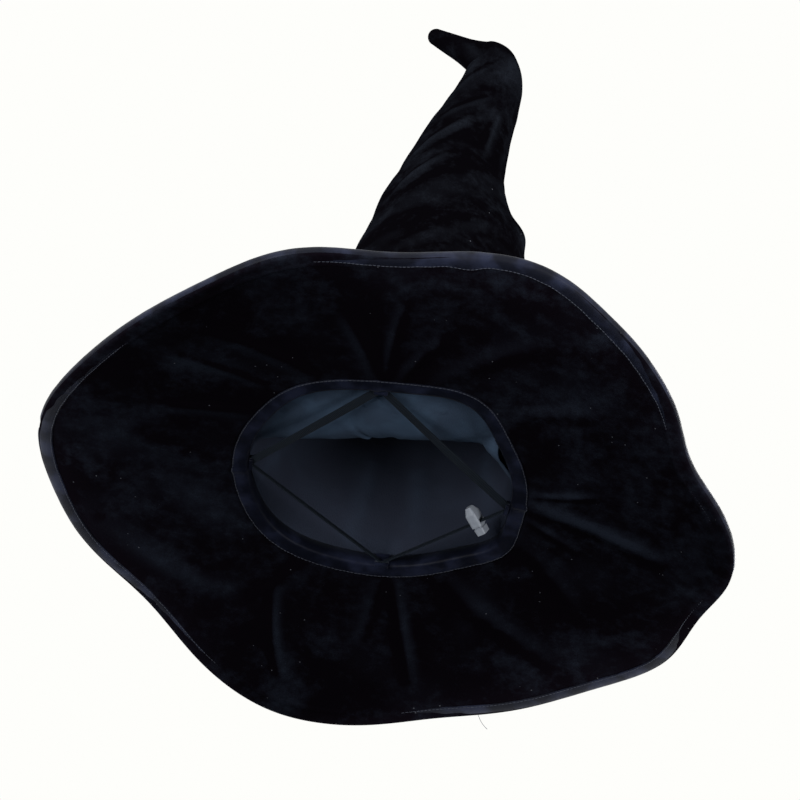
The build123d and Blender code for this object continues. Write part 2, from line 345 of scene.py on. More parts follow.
# ---- finishes -------------------------------------------------------------------------------
class Nodes:
    """Small helper that adds nodes and links to a shader tree."""

    def __init__(self, tree: bpy.types.NodeTree) -> None:
        """Keep the tree."""
        self.tree = tree

    def add(self, kind: str, **inputs: object) -> bpy.types.Node:
        """Add a node.

        Args:
            kind: The node's type name.
            **inputs: Settings of the node, or input values by name, with _ for a space.

        Returns:
            The node.
        """
        node = self.tree.nodes.new(kind)
        for name, value in inputs.items():
            if hasattr(node, name) and name not in ("inputs", "outputs"):
                setattr(node, name, value)
            else:
                self.feed(node, name.replace("_", " "), value)
        return node

    def feed(self, node: bpy.types.Node, name: str, value: object) -> None:
        """Set an input of a node, or link an output to it."""
        socket = node.inputs[name]
        if isinstance(value, bpy.types.NodeSocket):
            self.tree.links.new(value, socket)
        else:
            socket.default_value = value

    def math(self, operation: str, *values: object, clamp: bool = False) -> bpy.types.NodeSocket:
        """A Math node's result."""
        node = self.tree.nodes.new("ShaderNodeMath")
        node.operation = operation
        node.use_clamp = clamp
        for socket, value in zip(node.inputs, values):
            if isinstance(value, bpy.types.NodeSocket):
                self.tree.links.new(value, socket)
            else:
                socket.default_value = value
        return node.outputs[0]

    def ramp(self, value: bpy.types.NodeSocket, low: float, high: float) -> bpy.types.NodeSocket:
        """A smooth step of a value between two levels, 0 to 1."""
        node = self.tree.nodes.new("ShaderNodeMapRange")
        node.interpolation_type = "SMOOTHSTEP"
        self.tree.links.new(value, node.inputs["Value"])
        node.inputs["From Min"].default_value = low
        node.inputs["From Max"].default_value = high
        return node.outputs["Result"]

    def mix(self, factor: object, first: object, second: object) -> bpy.types.NodeSocket:
        """A colour between two colours."""
        node = self.tree.nodes.new("ShaderNodeMix")
        node.data_type = "RGBA"
        for name, value in (("Factor_Float", factor), ("A_Color", first), ("B_Color", second)):
            socket = next(each for each in node.inputs if each.identifier == name)
            if isinstance(value, bpy.types.NodeSocket):
                self.tree.links.new(value, socket)
            else:
                socket.default_value = value
        return next(each for each in node.outputs if each.identifier == "Result_Color")


def shader_group(name: str, inputs: dict[str, float], outputs: list[str]) -> tuple[Nodes, dict, object]:
    """Start a shader node group with a Vector input and number inputs and outputs.

    Args:
        name: The group's name.
        inputs: Number inputs and their first values.
        outputs: Number outputs.

    Returns:
        The node helper, the input sockets by name, and the output node.
    """
    tree = bpy.data.node_groups.new(name, "ShaderNodeTree")
    tree.interface.new_socket("Vector", in_out="INPUT", socket_type="NodeSocketVector")
    for label, value in inputs.items():
        socket = tree.interface.new_socket(label, in_out="INPUT", socket_type="NodeSocketFloat")
        socket.default_value = value
    for label in outputs:
        tree.interface.new_socket(label, in_out="OUTPUT", socket_type="NodeSocketFloat")
    nodes = Nodes(tree)
    start = nodes.add("NodeGroupInput")
    end = nodes.add("NodeGroupOutput")
    return nodes, {socket.name: socket for socket in start.outputs}, end


def make_pile_group() -> bpy.types.NodeTree:
    """Pile cloth: which way the pile lies in slow patches, lint specks and the pile's own fine relief."""
    nodes, given, end = shader_group(
        "pile_cloth", {"Patch Size": 0.05, "Pile Size": 0.0009, "Lint": 0.5}, ["Nap", "Lint", "Height"]
    )
    per_patch = nodes.math("DIVIDE", 1.0, given["Patch Size"])
    per_pile = nodes.math("DIVIDE", 1.0, given["Pile Size"])
    slow = nodes.add(
        "ShaderNodeTexNoise", Vector=given["Vector"], Scale=per_patch, Detail=3.0, Distortion=1.2
    )
    brushed = nodes.add(
        "ShaderNodeTexNoise",
        Vector=given["Vector"],
        Scale=nodes.math("MULTIPLY", per_patch, 7.0),
        Detail=6.0,
        Roughness=0.7,
    )
    fine = nodes.add("ShaderNodeTexNoise", Vector=given["Vector"], Scale=per_pile, Detail=2.0)
    nap_and_painted_light = nodes.math(
        "MULTIPLY_ADD", brushed.outputs["Fac"], 0.5, nodes.math("MULTIPLY", slow.outputs["Fac"], 0.5)
    )
    specks = nodes.add(
        "ShaderNodeTexVoronoi",
        Vector=given["Vector"],
        Scale=nodes.math("MULTIPLY", per_pile, 0.11),
        Randomness=1.0,
    )
    near = nodes.math("LESS_THAN", specks.outputs["Distance"], 0.055)
    chosen = nodes.add("ShaderNodeSeparateColor", Color=specks.outputs["Color"])
    rare = nodes.math("LESS_THAN", chosen.outputs["Red"], nodes.math("MULTIPLY", given["Lint"], 0.5))
    nodes.feed(end, "Nap", nodes.ramp(nap_and_painted_light, 0.44, 0.80))
    nodes.feed(end, "Lint", nodes.math("MULTIPLY", near, rare))
    nodes.feed(end, "Height", fine.outputs["Fac"])
    return nodes.tree


def make_tape_group() -> bpy.types.NodeTree:
    """Woven tape: fine crossing threads and slow uneven sheen."""
    nodes, given, end = shader_group("woven_tape", {"Thread": 0.0005, "Worn Size": 0.02}, ["Sheen", "Height"])
    turned = nodes.add("ShaderNodeVectorMath", operation="SCALE", Vector=given["Vector"])
    nodes.feed(turned, "Scale", nodes.math("DIVIDE", 1.0, given["Thread"]))
    one = nodes.add("ShaderNodeTexWave", Vector=turned.outputs["Vector"], Scale=0.31, Distortion=1.0)
    one.bands_direction = "DIAGONAL"
    other = nodes.add("ShaderNodeTexNoise", Vector=turned.outputs["Vector"], Scale=0.8, Detail=2.0)
    slow = nodes.add("ShaderNodeTexNoise", Vector=given["Vector"], Detail=3.0)
    nodes.feed(slow, "Scale", nodes.math("DIVIDE", 1.0, given["Worn Size"]))
    nodes.feed(end, "Sheen", nodes.ramp(slow.outputs["Fac"], 0.4, 0.68))
    nodes.feed(end, "Height", nodes.math("MULTIPLY_ADD", one.outputs["Fac"], 0.5, other.outputs["Fac"]))
    return nodes.tree


@dataclass(frozen=True)
class Finish:
    """What every finish shares: its name, colours and gloss."""

    name: str
    dark: tuple[float, float, float]
    light: tuple[float, float, float]
    roughness: float
    sheen: float = 0.0
    sheen_colour: tuple[float, float, float] = (0.7, 0.8, 1.0)
    shine: float = 0.5

    def start(self) -> tuple[bpy.types.Material, Nodes, bpy.types.Node]:
        """Make the material with its Principled shader.

        Returns:
            The material, the node helper and the shader.
        """
        material = bpy.data.materials.new(self.name)
        material.use_nodes = True
        nodes = Nodes(material.node_tree)
        shader = material.node_tree.nodes["Principled BSDF"]
        shader.inputs["Roughness"].default_value = self.roughness
        shader.inputs["Specular IOR Level"].default_value = self.shine
        shader.inputs["Sheen Weight"].default_value = self.sheen
        shader.inputs["Sheen Roughness"].default_value = 0.38
        shader.inputs["Sheen Tint"].default_value = (*self.sheen_colour, 1)
        return material, nodes, shader

    def bump(
        self, nodes: Nodes, shader: bpy.types.Node, height: object, strength: float, depth: float
    ) -> None:
        """Feed a height into the shader's normal.

        Args:
            nodes: The material's node helper.
            shader: Its Principled shader.
            height: Height between 0 and 1.
            strength: How strongly it shows.
            depth: How deep it is, in metres.
        """
        relief = nodes.add("ShaderNodeBump", Strength=strength, Distance=depth, Height=height)
        nodes.feed(shader, "Normal", relief.outputs["Normal"])


@dataclass(frozen=True)
class Velvet(Finish):
    """Short pile that looks black one way of the pile and blue grey the other, with painted shade and painted
    sheen mixed into its colour from the cloth's attribute.
    """

    patch: float = 0.05
    pile: float = 0.0009
    lint: float = 0.5

    def build(self, pile_group: bpy.types.NodeTree) -> bpy.types.Material:
        """The velvet's material."""
        material, nodes, shader = self.start()
        place = nodes.add("ShaderNodeTexCoord")
        cloth = nodes.add("ShaderNodeGroup")
        cloth.node_tree = pile_group
        nodes.feed(cloth, "Vector", place.outputs["Object"])
        nodes.feed(cloth, "Patch Size", self.patch)
        nodes.feed(cloth, "Pile Size", self.pile)
        nodes.feed(cloth, "Lint", self.lint)
        # The attribute holds painted light: highlight and shade on crease flanks and painted sheen patches,
        # added to the pile's random patches.
        painted = nodes.add("ShaderNodeAttribute", attribute_name="nap_and_painted_light")
        grain = nodes.math("MULTIPLY_ADD", cloth.outputs["Height"], 1.4, 0.3)
        nap_and_painted_light = nodes.math(
            "MULTIPLY", nodes.math("ADD", cloth.outputs["Nap"], painted.outputs["Fac"]), grain, clamp=True
        )
        colour = nodes.mix(nap_and_painted_light, (*self.dark, 1), (*self.light, 1))
        with_lint = nodes.mix(
            nodes.math("MULTIPLY", cloth.outputs["Lint"], 0.5), colour, (0.16, 0.17, 0.2, 1)
        )
        nodes.feed(shader, "Base Color", with_lint)
        nodes.feed(shader, "Roughness", nodes.math("MULTIPLY_ADD", nap_and_painted_light, -0.18, self.roughness))
        self.bump(nodes, shader, cloth.outputs["Height"], 0.5, 0.0004)
        return material


@dataclass(frozen=True)
class SatinTape(Finish):
    """Narrow woven tape with a soft shine and puckers."""

    thread: float = 0.0005

    def build(self, tape_group: bpy.types.NodeTree) -> bpy.types.Material:
        """The tape's material."""
        material, nodes, shader = self.start()
        place = nodes.add("ShaderNodeTexCoord")
        tape = nodes.add("ShaderNodeGroup")
        tape.node_tree = tape_group
        nodes.feed(tape, "Vector", place.outputs["Object"])
        nodes.feed(tape, "Thread", self.thread)
        colour = nodes.mix(tape.outputs["Sheen"], (*self.dark, 1), (*self.light, 1))
        nodes.feed(shader, "Base Color", colour)
        nodes.feed(
            shader,
            "Roughness",
            nodes.math("MULTIPLY_ADD", tape.outputs["Sheen"], -0.12, self.roughness),
        )
        self.bump(nodes, shader, tape.outputs["Height"], 0.35, 0.0002)
        return material


@dataclass(frozen=True)
class RibbedElastic(Finish):
    """Flat elastic with ribs across it, which follow the tape's own map."""

    rib: float = 0.0011

    def build(self) -> bpy.types.Material:
        """The elastic's material."""
        material, nodes, shader = self.start()
        place = nodes.add("ShaderNodeUVMap", uv_map="tape")
        ribs = nodes.add(
            "ShaderNodeTexWave",
            Vector=place.outputs["UV"],
            Scale=math.pi / (10 * self.rib),
            Distortion=0.4,
        )
        fuzz = nodes.add("ShaderNodeTexNoise", Vector=place.outputs["UV"], Scale=900.0, Detail=2.0)
        both = nodes.math("MULTIPLY_ADD", fuzz.outputs["Fac"], 0.4, ribs.outputs["Fac"])
        nodes.feed(shader, "Base Color", nodes.mix(ribs.outputs["Fac"], (*self.dark, 1), (*self.light, 1)))
        self.bump(nodes, shader, both, 0.8, 0.0004)
        return material


@dataclass(frozen=True)
class Brushed(Finish):
    """Brushed lining cloth: soft fibres over a knit."""

    def build(self) -> bpy.types.Material:
        """The lining's material, with painted light on the cloth that has come away and painted shade on the
        rest.
        """
        material, nodes, shader = self.start()
        place = nodes.add("ShaderNodeTexCoord")
        slow = nodes.add(
            "ShaderNodeTexNoise",
            Vector=place.outputs["Object"],
            Scale=38.0,
            Detail=5.0,
            Distortion=0.6,
        )
        painted_light = nodes.add("ShaderNodeAttribute", attribute_name="nap_and_painted_light")
        stretch = nodes.add("ShaderNodeMapping", Vector=place.outputs["Object"], Scale=(1.0, 1.0, 0.35))
        fibres = nodes.add("ShaderNodeTexNoise", Vector=stretch.outputs["Vector"], Scale=1500.0, Detail=4.0)
        tone = nodes.math(
            "MULTIPLY_ADD", fibres.outputs["Fac"], 0.5, nodes.ramp(slow.outputs["Fac"], 0.35, 0.7)
        )
        # Painted light: cloth that has come away is lit, and the rest of the lining is in painted shade.
        share = nodes.math("MULTIPLY_ADD", painted_light.outputs["Fac"], 0.72, 0.10)
        lit = nodes.math("MULTIPLY", nodes.math("MULTIPLY_ADD", tone, 0.55, 0.58), share, clamp=True)
        nodes.feed(shader, "Base Color", nodes.mix(lit, (*self.dark, 1), (*self.light, 1)))
        self.bump(nodes, shader, fibres.outputs["Fac"], 0.7, 0.0006)
        return material


@dataclass(frozen=True)
class Moulded(Finish):
    """Moulded plastic or drawn wire, with faint marks."""

    metal: float = 0.0

    def build(self) -> bpy.types.Material:
        """The plastic's or wire's material."""
        material, nodes, shader = self.start()
        place = nodes.add("ShaderNodeTexCoord")
        marks = nodes.add("ShaderNodeTexNoise", Vector=place.outputs["Object"], Scale=420.0, Detail=4.0)
        nodes.feed(shader, "Base Color", nodes.mix(marks.outputs["Fac"], (*self.dark, 1), (*self.light, 1)))
        nodes.feed(
            shader,
            "Roughness",
            nodes.math("MULTIPLY_ADD", marks.outputs["Fac"], 0.2, self.roughness - 0.1),
        )
        shader.inputs["Metallic"].default_value = self.metal
        self.bump(nodes, shader, marks.outputs["Fac"], 0.2, 0.0001)
        return material


# ---- brim -----------------------------------------------------------------------------------
@dataclass
class BrimShape:
    """The brim's plan and heights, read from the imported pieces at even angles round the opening."""

    centre: Vector
    angles: int = 480
    wire_bends: tuple[Bend, ...] = (
        Bend(150, 6, 13),
        Bend(250, 10, 14),
        Bend(281, 6, 14),
        Bend(15, -4, 16),
        Bend(335, -3.5, 11),
        Bend(101, 2, 10),
    )
    wire_slack: float = 4.0 * MM
    opening_bends: tuple[Bend, ...] = (
        Bend(300, 11.5, 19),
        Bend(231, 5, 20),
        Bend(130, 5, 23),
        Bend(29, 7, 14),
    )
    edge: Array = field(init=False)
    hole: Array = field(init=False)
    under: Probe = field(init=False)
    top: Probe = field(init=False)

    def __post_init__(self) -> None:
        """Find the cloth's outer and inner edge along each angle."""
        self.under = Probe("brim_underside_velvet")
        self.top = Probe("brim_top_velvet")
        turns = np.radians(np.arange(self.angles) * 360 / self.angles)
        self.ways = np.stack([np.cos(turns), np.sin(turns)], axis=1)
        degrees = np.degrees(turns)
        self.packed_edge = smooth_closed(np.array([self.limit(way, 0.15, 0.26) for way in self.ways]), 4)
        self.packed_hole = smooth_closed(np.array([self.limit(way, 0.15, 0.06) for way in self.ways]), 4)
        self.edge = self.packed_edge + self.wire_slack + sum(bend.over(degrees) for bend in self.wire_bends)
        self.hole = self.packed_hole + self.opening_bulge(degrees)
        self.faces: dict[tuple[Side, int], Array] = {}

    def opening_bulge(self, degrees: Array) -> Array:
        """How far the opening's edge bulges between the elastic's tacks, in metres."""
        return sum(bend.over(degrees) for bend in self.opening_bends)

    def limit(self, way: Array, inside: float, outside: float) -> float:
        """Where the cloth ends between a reach that has cloth and one that has none."""
        for _ in range(16):
            middle = (inside + outside) / 2
            covered = self.height(way, middle, Side.UNDER) is not None
            inside, outside = (middle, outside) if covered else (inside, middle)
        return inside

    def height(self, way: Array, reach: float, side: Side) -> float | None:
        """The brim's face height at a reach from the opening's centre."""
        probe = self.under if side is Side.UNDER else self.top
        return probe.height(self.centre.x + way[0] * reach, self.centre.y + way[1] * reach, side)

    def face(self, side: Side, steps: int) -> Array:
        """A grid of points on one face, from the opening to the edge.

        Args:
            side: Which face.
            steps: Rows between the opening and the edge.

        Returns:
            Points, steps plus one by angles by three.
        """
        if (side, steps) in self.faces:
            return self.faces[side, steps]
        skin, run = 0.4 * MM, 8 * MM
        grid = np.zeros((steps + 1, self.angles, 3))
        for column, way in enumerate(self.ways):
            last = self.packed_edge[column] - skin
            end = self.height(way, last, side)
            slope = (end - self.height(way, last - run, side)) / run
            for row, reach in enumerate(np.linspace(self.hole[column], self.edge[column], steps + 1)):
                if reach > last:
                    z = end + slope * (reach - last)
                else:
                    z = self.height(way, max(reach, self.packed_hole[column] + skin), side)
                grid[row, column] = (self.centre.x + way[0] * reach, self.centre.y + way[1] * reach, z)
        grid[-8:, :, 2] = smooth_closed(grid[-8:, :, 2].T, 2).T
        self.faces[side, steps] = grid
        return grid

    def angle_grid(self, grid: Array) -> Array:
        """Angle of each point of a grid, in degrees."""
        return np.broadcast_to(np.arange(self.angles) * 360 / self.angles, grid.shape[:2])

    def reach_grid(self, grid: Array) -> Array:
        """Reach of each point of a grid from the opening's centre, in millimetres."""
        return np.hypot(grid[..., 0] - self.centre.x, grid[..., 1] - self.centre.y) / MM


@dataclass
class Brim:
    """Two velvets, the tape that binds their edge, its stitches and a stray thread."""

    shape: BrimShape
    steps: int = 90
    cloth: float = 1.2 * MM
    tape_width: float = 8.5 * MM
    tape: float = 0.8 * MM
    ripple: float = 0.7 * MM
    thread_length: float = 18 * MM
    under_creases: tuple[Crease, ...] = (
        Crease((262, 96), (256, 150), 5, 1.6),
        Crease((272, 96), (280, 140), 4, 1.4),
        Crease((285, 97), (300, 170), 7, 1.5),
        Crease((238, 100), (226, 165), 6, 1.3),
        Crease((0, 98), (6, 186), 6, 2.6),
        Crease((354, 98), (350, 140), 3, 1.2),
        Crease((8, 98), (14, 135), 3, 1.0),
        Crease((20, 98), (34, 170), 7, 1.2),
        Crease((172, 98), (186, 175), 8, 1.4),
        Crease((127, 151), (155, 188), 7, 2.2),
        Crease((78, 96), (77, 182), 4, 1.6),
        Crease((84, 98), (88, 150), 4, -1.2),
        Crease((116, 128), (103, 193), 3.5, 1.5),
        Crease((112, 98), (118, 140), 6, 1.2),
        Crease((58, 100), (48, 190), 8, 1.4),
        Crease((266, 98), (269, 165), 3, 1.1),
        Crease((221, 110), (214, 170), 3.5, 1.1),
        Crease((205, 100), (196, 150), 5, 1.2),
        Crease((314, 110), (322, 160), 6, 1.2),
    )
    # Painted sheen: patches of painted highlight on the underside velvet, as lines whose lift is their
    # strength.
    painted_sheen_patches: tuple[Crease, ...] = (
        Crease((150, 108), (168, 142), 17, 0.42),
        Crease((127, 152), (155, 188), 8, 0.55),
        Crease((0, 104), (6, 180), 5, 0.6),
        Crease((224, 120), (212, 175), 10, 0.3),
        Crease((190, 160), (170, 185), 15, 0.28),
        Crease((50, 120), (62, 150), 10, 0.22),
        Crease((300, 130), (320, 175), 14, 0.18),
    )
    top_creases: tuple[Crease, ...] = (
        Crease((250, 96), (238, 190), 9, 1.8),
        Crease((300, 96), (312, 185), 9, 1.6),
        Crease((20, 98), (30, 190), 9, 1.6),
        Crease((70, 98), (80, 190), 8, 1.5),
        Crease((120, 98), (112, 190), 9, 1.8),
        Crease((185, 98), (176, 180), 8, 1.6),
    )

    def relief(self, grid: Array, creases: tuple[Crease, ...], seed: float) -> Array:
        """Creases and slow ripples, gone at both edges.

        Args:
            grid: Points of the cloth.
            creases: Its folds.
            seed: Moves the ripples.

        Returns:
            How far each point stands out, in metres.
        """
        angle, reach = self.shape.angle_grid(grid), self.shape.reach_grid(grid)
        lift = sum(crease.over(angle, reach, reach) for crease in creases)
        lift = lift + rolling(grid, 0.045, seed) * self.ripple
        row = np.linspace(0, 1, len(grid))[:, None]
        return lift * np.clip(row / 0.08, 0, 1) * np.clip((1 - row) / 0.1, 0, 1)

    def nap_and_painted_light(self, lift: Array) -> Array:
        """Painted highlight and shade on each slope of the creases: one flank lighter, the other darker."""
        slope = np.gradient(lift, axis=1) + 0.6 * np.gradient(lift, axis=0)
        return np.clip(slope / np.percentile(np.abs(slope), 99.5) * 0.55, -0.5, 0.8)

    def build_cloth(self, side: Side, creases: tuple[Crease, ...], seed: float, material) -> bpy.types.Object:
        """One velvet ring of the brim."""
        grid = self.shape.face(side, self.steps)
        lift = self.relief(grid, creases, seed)
        outer = grid.copy()
        outer[..., 2] += side.value * lift
        inner = grid.copy()
        inner[..., 2] -= side.value * self.cloth
        name = "brim_underside_cloth" if side is Side.UNDER else "brim_top_cloth"
        mesh = ring_sheet(name, outer, inner, flip=side is Side.UNDER)
        face_normals_outwards(mesh)
        shade = mesh.attributes.new("nap_and_painted_light", "FLOAT", "POINT")
        # Painted highlight and shade on the crease flanks; the underside also gets painted sheen patches.
        nap_and_painted_light = self.nap_and_painted_light(lift)
        if side is Side.UNDER:
            angle, reach = self.shape.angle_grid(grid), self.shape.reach_grid(grid)
            nap_and_painted_light = nap_and_painted_light + sum(sheen.over(angle, reach, reach) for sheen in self.painted_sheen_patches) / MM
        values = np.concatenate([nap_and_painted_light.ravel(), np.zeros(lift.size)])
        shade.data.foreach_set("value", values.astype(np.float32))
        piece = new_piece(name, mesh, material)
        return piece

    def edge_frames(self) -> tuple[Array, Array, Array]:
        """The edge's middle point, outward way and face way at each angle."""
        under, top = self.shape.face(Side.UNDER, 24), self.shape.face(Side.TOP, 24)
        middle = (under[-1] + top[-1]) / 2
        ahead = np.roll(middle, -1, axis=0) - np.roll(middle, 1, axis=0)
        ahead /= np.linalg.norm(ahead, axis=1)[:, None]
        upright = np.array([0, 0, 1.0])
        out = np.cross(ahead, upright)
        out /= np.linalg.norm(out, axis=1)[:, None]
        inwards = (under[-4] + top[-4]) / 2 - middle
        inwards /= np.linalg.norm(inwards, axis=1)[:, None]
        out = -inwards + ahead * np.sum(inwards * ahead, axis=1)[:, None]
        out /= np.linalg.norm(out, axis=1)[:, None]
        return middle, out, np.cross(out, ahead)

    def build_binding(self, material: bpy.types.Material) -> bpy.types.Object:
        """The tape folded over the edge, a little puckered, with a lump where its ends lap."""
        middle, out, up = self.edge_frames()
        up = np.where(up[:, 2:] < 0, -up, up)
        half = (self.shape.face(Side.TOP, 24)[-1, :, 2] - self.shape.face(Side.UNDER, 24)[-1, :, 2]) / 2
        angles = np.arange(self.shape.angles) * 360 / self.shape.angles
        lap = np.exp(-((turn_between(angles, 278) / 2.2) ** 2))
        notch = np.exp(-((turn_between(angles, 181) / 1.1) ** 2))
        pucker = 0.16 * np.sin(np.radians(angles * 97)) + 0.14 * np.sin(np.radians(angles * 61 + 40))
        swell = 0.10 * np.sin(np.radians(angles * 3 + 200))
        width = self.tape_width * (1 + swell + 0.05 * pucker + 0.2 * lap)
        stand = (0.35 + 0.25 * pucker + 1.3 * lap) * MM
        rings = []
        for i in range(self.shape.angles):
            deep, thick = width[i], self.tape + stand[i]
            nose = self.tape * (1 + 0.3 * pucker[i]) - 1.6 * MM * notch[i]
            profile = [(-deep, half[i] + 0.1 * MM), (-deep, half[i] + 0.7 * thick)]
            profile += [(-deep * 0.9, half[i] + thick), (-deep * 0.5, half[i] + thick * 0.95)]
            profile += [(-deep * 0.18, half[i] + thick * 0.9), (nose * 0.4, half[i] * 0.86 + thick * 0.3)]
            profile += [(nose, half[i] * 0.45), (nose * 1.06, 0)]
            profile += [(x, -y) for x, y in reversed(profile[:-1])]
            profile += [(-0.2 * MM, -half[i] - 0.05 * MM), (-0.2 * MM, half[i] + 0.05 * MM)]
            rings.append([middle[i] + out[i] * x + up[i] * y for x, y in profile])
        rings = np.array(rings)
        lowest = rings.shape[1] - 5
        self.seams = {Side.TOP: rings[:, 2] + up * 0.05 * MM, Side.UNDER: rings[:, lowest] - up * 0.05 * MM}
        mesh = tube_mesh("brim_binding_tape", rings)
        face_normals_outwards(mesh)
        return new_piece("brim_binding_tape", mesh, material)

    def build_stiffener(self, material: bpy.types.Material) -> bpy.types.Object:
        """The stiffener that fills the brim between its two velvets."""
        sheets = []
        for side in (Side.TOP, Side.UNDER):
            grid = self.shape.face(side, self.steps)[1:-1].copy()
            grid[..., 2] -= side.value * (self.cloth + 0.05 * MM)
            sheets.append(grid)
        mesh = ring_sheet("brim_stiffener_sheet", sheets[0], sheets[1])
        face_normals_outwards(mesh)
        return new_piece("brim_stiffener_sheet", mesh, material)

    def build_wire(self, material: bpy.types.Material) -> list[bpy.types.Object]:
        """The brim's wire inside its tape, and the sleeve that joins the wire's ends."""
        middle, out, up = self.edge_frames()
        pieces = []
        for name, first, last, radius in (
            ("rim_wire_ring", 0, 360, 0.55 * MM),
            ("rim_wire_sleeve", 273, 283, 1.0 * MM),
        ):
            columns = np.arange(round(first / 360 * self.shape.angles), round(last / 360 * self.shape.angles))
            turns = np.radians(np.arange(12) * 30)
            cos, sin = np.cos(turns)[None, :, None], np.sin(turns)[None, :, None]
            across = out[columns, None] * cos + up[columns, None] * sin
            seat = middle[columns] - out[columns] * 0.7 * MM
            rings = seat[:, None] + across * radius
            mesh = open_tube_mesh(name, rings) if last - first < 360 else tube_mesh(name, rings)
            face_normals_outwards(mesh)
            pieces.append(new_piece(name, mesh, material))
        return pieces

    def stray_thread(self, material: bpy.types.Material) -> bpy.types.Object:
        """A loose end of sewing thread on the edge."""
        middle, out, _ = self.edge_frames()
        column = int(66.5 / 360 * self.shape.angles)
        start = Vector(middle[column] + out[column] * 0.8 * MM)
        way = Vector(out[column])
        side = way.cross(Vector((0, 0, 1)))
        length = self.thread_length
        points = [
            start,
            start + way * length * 0.3 + side * 0.5 * MM,
            start + way * length * 0.62 + side * 2.2 * MM - Vector((0, 0, 1 * MM)),
            start + way * length * 0.8 + side * 5.0 * MM - Vector((0, 0, 2 * MM)),
        ]
        curve = bpy.data.curves.new("stray_thread", "CURVE")
        curve.dimensions = "3D"
        curve.bevel_depth = 0.16 * MM
        curve.bevel_resolution = 2
        spline = curve.splines.new("NURBS")
        spline.points.add(len(points) - 1)
        for place, point in zip(spline.points, points):
            place.co = (*point, 1)
        spline.order_u = 3
        spline.use_endpoint_u = True
        curve.use_fill_caps = True
        curve.materials.append(material)
        piece = bpy.data.objects.new("stray_thread", curve)
        bpy.context.scene.collection.objects.link(piece)
        mesh = bpy.data.meshes.new_from_object(piece.evaluated_get(bpy.context.evaluated_depsgraph_get()))
        bpy.data.objects.remove(piece)
        return new_piece("stray_thread", mesh, material)


# ---- stitches -------------------------------------------------------------------------------
@dataclass
class Stitching:
    """Machine stitches along a line, made by a geometry tree."""

    material: bpy.types.Material
    tree: bpy.types.NodeTree = field(init=False)

    def __post_init__(self) -> None:
        """Build the tree once."""
        tree = bpy.data.node_groups.new("stitch_line", "GeometryNodeTree")
        self.tree = tree
        tree.interface.new_socket("Geometry", in_out="INPUT", socket_type="NodeSocketGeometry")
        for label in ("Pitch", "Length", "Thickness"):
            tree.interface.new_socket(label, in_out="INPUT", socket_type="NodeSocketFloat")
        tree.interface.new_socket("Geometry", in_out="OUTPUT", socket_type="NodeSocketGeometry")
        nodes = Nodes(tree)
        given = nodes.add("NodeGroupInput").outputs
        end = nodes.add("NodeGroupOutput")
        spaced = nodes.add(
            "GeometryNodeResampleCurve", mode="LENGTH", Curve=given["Geometry"], Length=given["Pitch"]
        )
        bead = nodes.add("GeometryNodeMeshIcoSphere", Radius=0.5, Subdivisions=1)
        tangent = nodes.add("GeometryNodeInputTangent")
        turn = nodes.add("FunctionNodeAlignRotationToVector", axis="X", Vector=tangent.outputs["Tangent"])
        size = nodes.add(
            "ShaderNodeCombineXYZ", X=given["Length"], Y=given["Thickness"], Z=given["Thickness"]
        )
        placed = nodes.add(
            "GeometryNodeInstanceOnPoints",
            Points=spaced.outputs["Curve"],
            Instance=bead.outputs["Mesh"],
            Rotation=turn.outputs["Rotation"],
            Scale=size.outputs["Vector"],
        )
        real = nodes.add("GeometryNodeRealizeInstances", Geometry=placed.outputs["Instances"])
        dressed = nodes.add("GeometryNodeSetMaterial", Geometry=real.outputs["Geometry"])
        dressed.inputs["Material"].default_value = self.material
        nodes.feed(end, "Geometry", dressed.outputs["Geometry"])

    def along(self, name: str, lines: list[Array], closed: bool, pitch: float, length: float, thick: float):
        """Sew along lines.

        Args:
            name: The piece's name.
            lines: Points of each line.
            closed: Whether each line meets itself.
            pitch: From one stitch to the next.
            length: A stitch's length.
            thick: The thread's thickness.

        Returns:
            The stitches, as one piece.
        """
        curve = bpy.data.curves.new(name + "_path", "CURVE")
        curve.dimensions = "3D"
        for line in lines:
            spline = curve.splines.new("POLY")
            spline.points.add(len(line) - 1)
            spline.points.foreach_set("co", np.c_[line, np.ones(len(line))].ravel())
            spline.use_cyclic_u = closed
        path = bpy.data.objects.new(name + "_path", curve)
        bpy.context.scene.collection.objects.link(path)
        modifier = path.modifiers.new("stitches", "NODES")
        modifier.node_group = self.tree
        sizes = {"Pitch": pitch, "Length": length, "Thickness": thick}
        for socket in self.tree.interface.items_tree:
            if socket.in_out == "INPUT" and socket.name in sizes:
                modifier[socket.identifier] = sizes[socket.name]
        graph = bpy.context.evaluated_depsgraph_get()
        mesh = bpy.data.meshes.new_from_object(path.evaluated_get(graph))
        bpy.data.objects.remove(path)
        return new_piece(name, mesh, self.material)


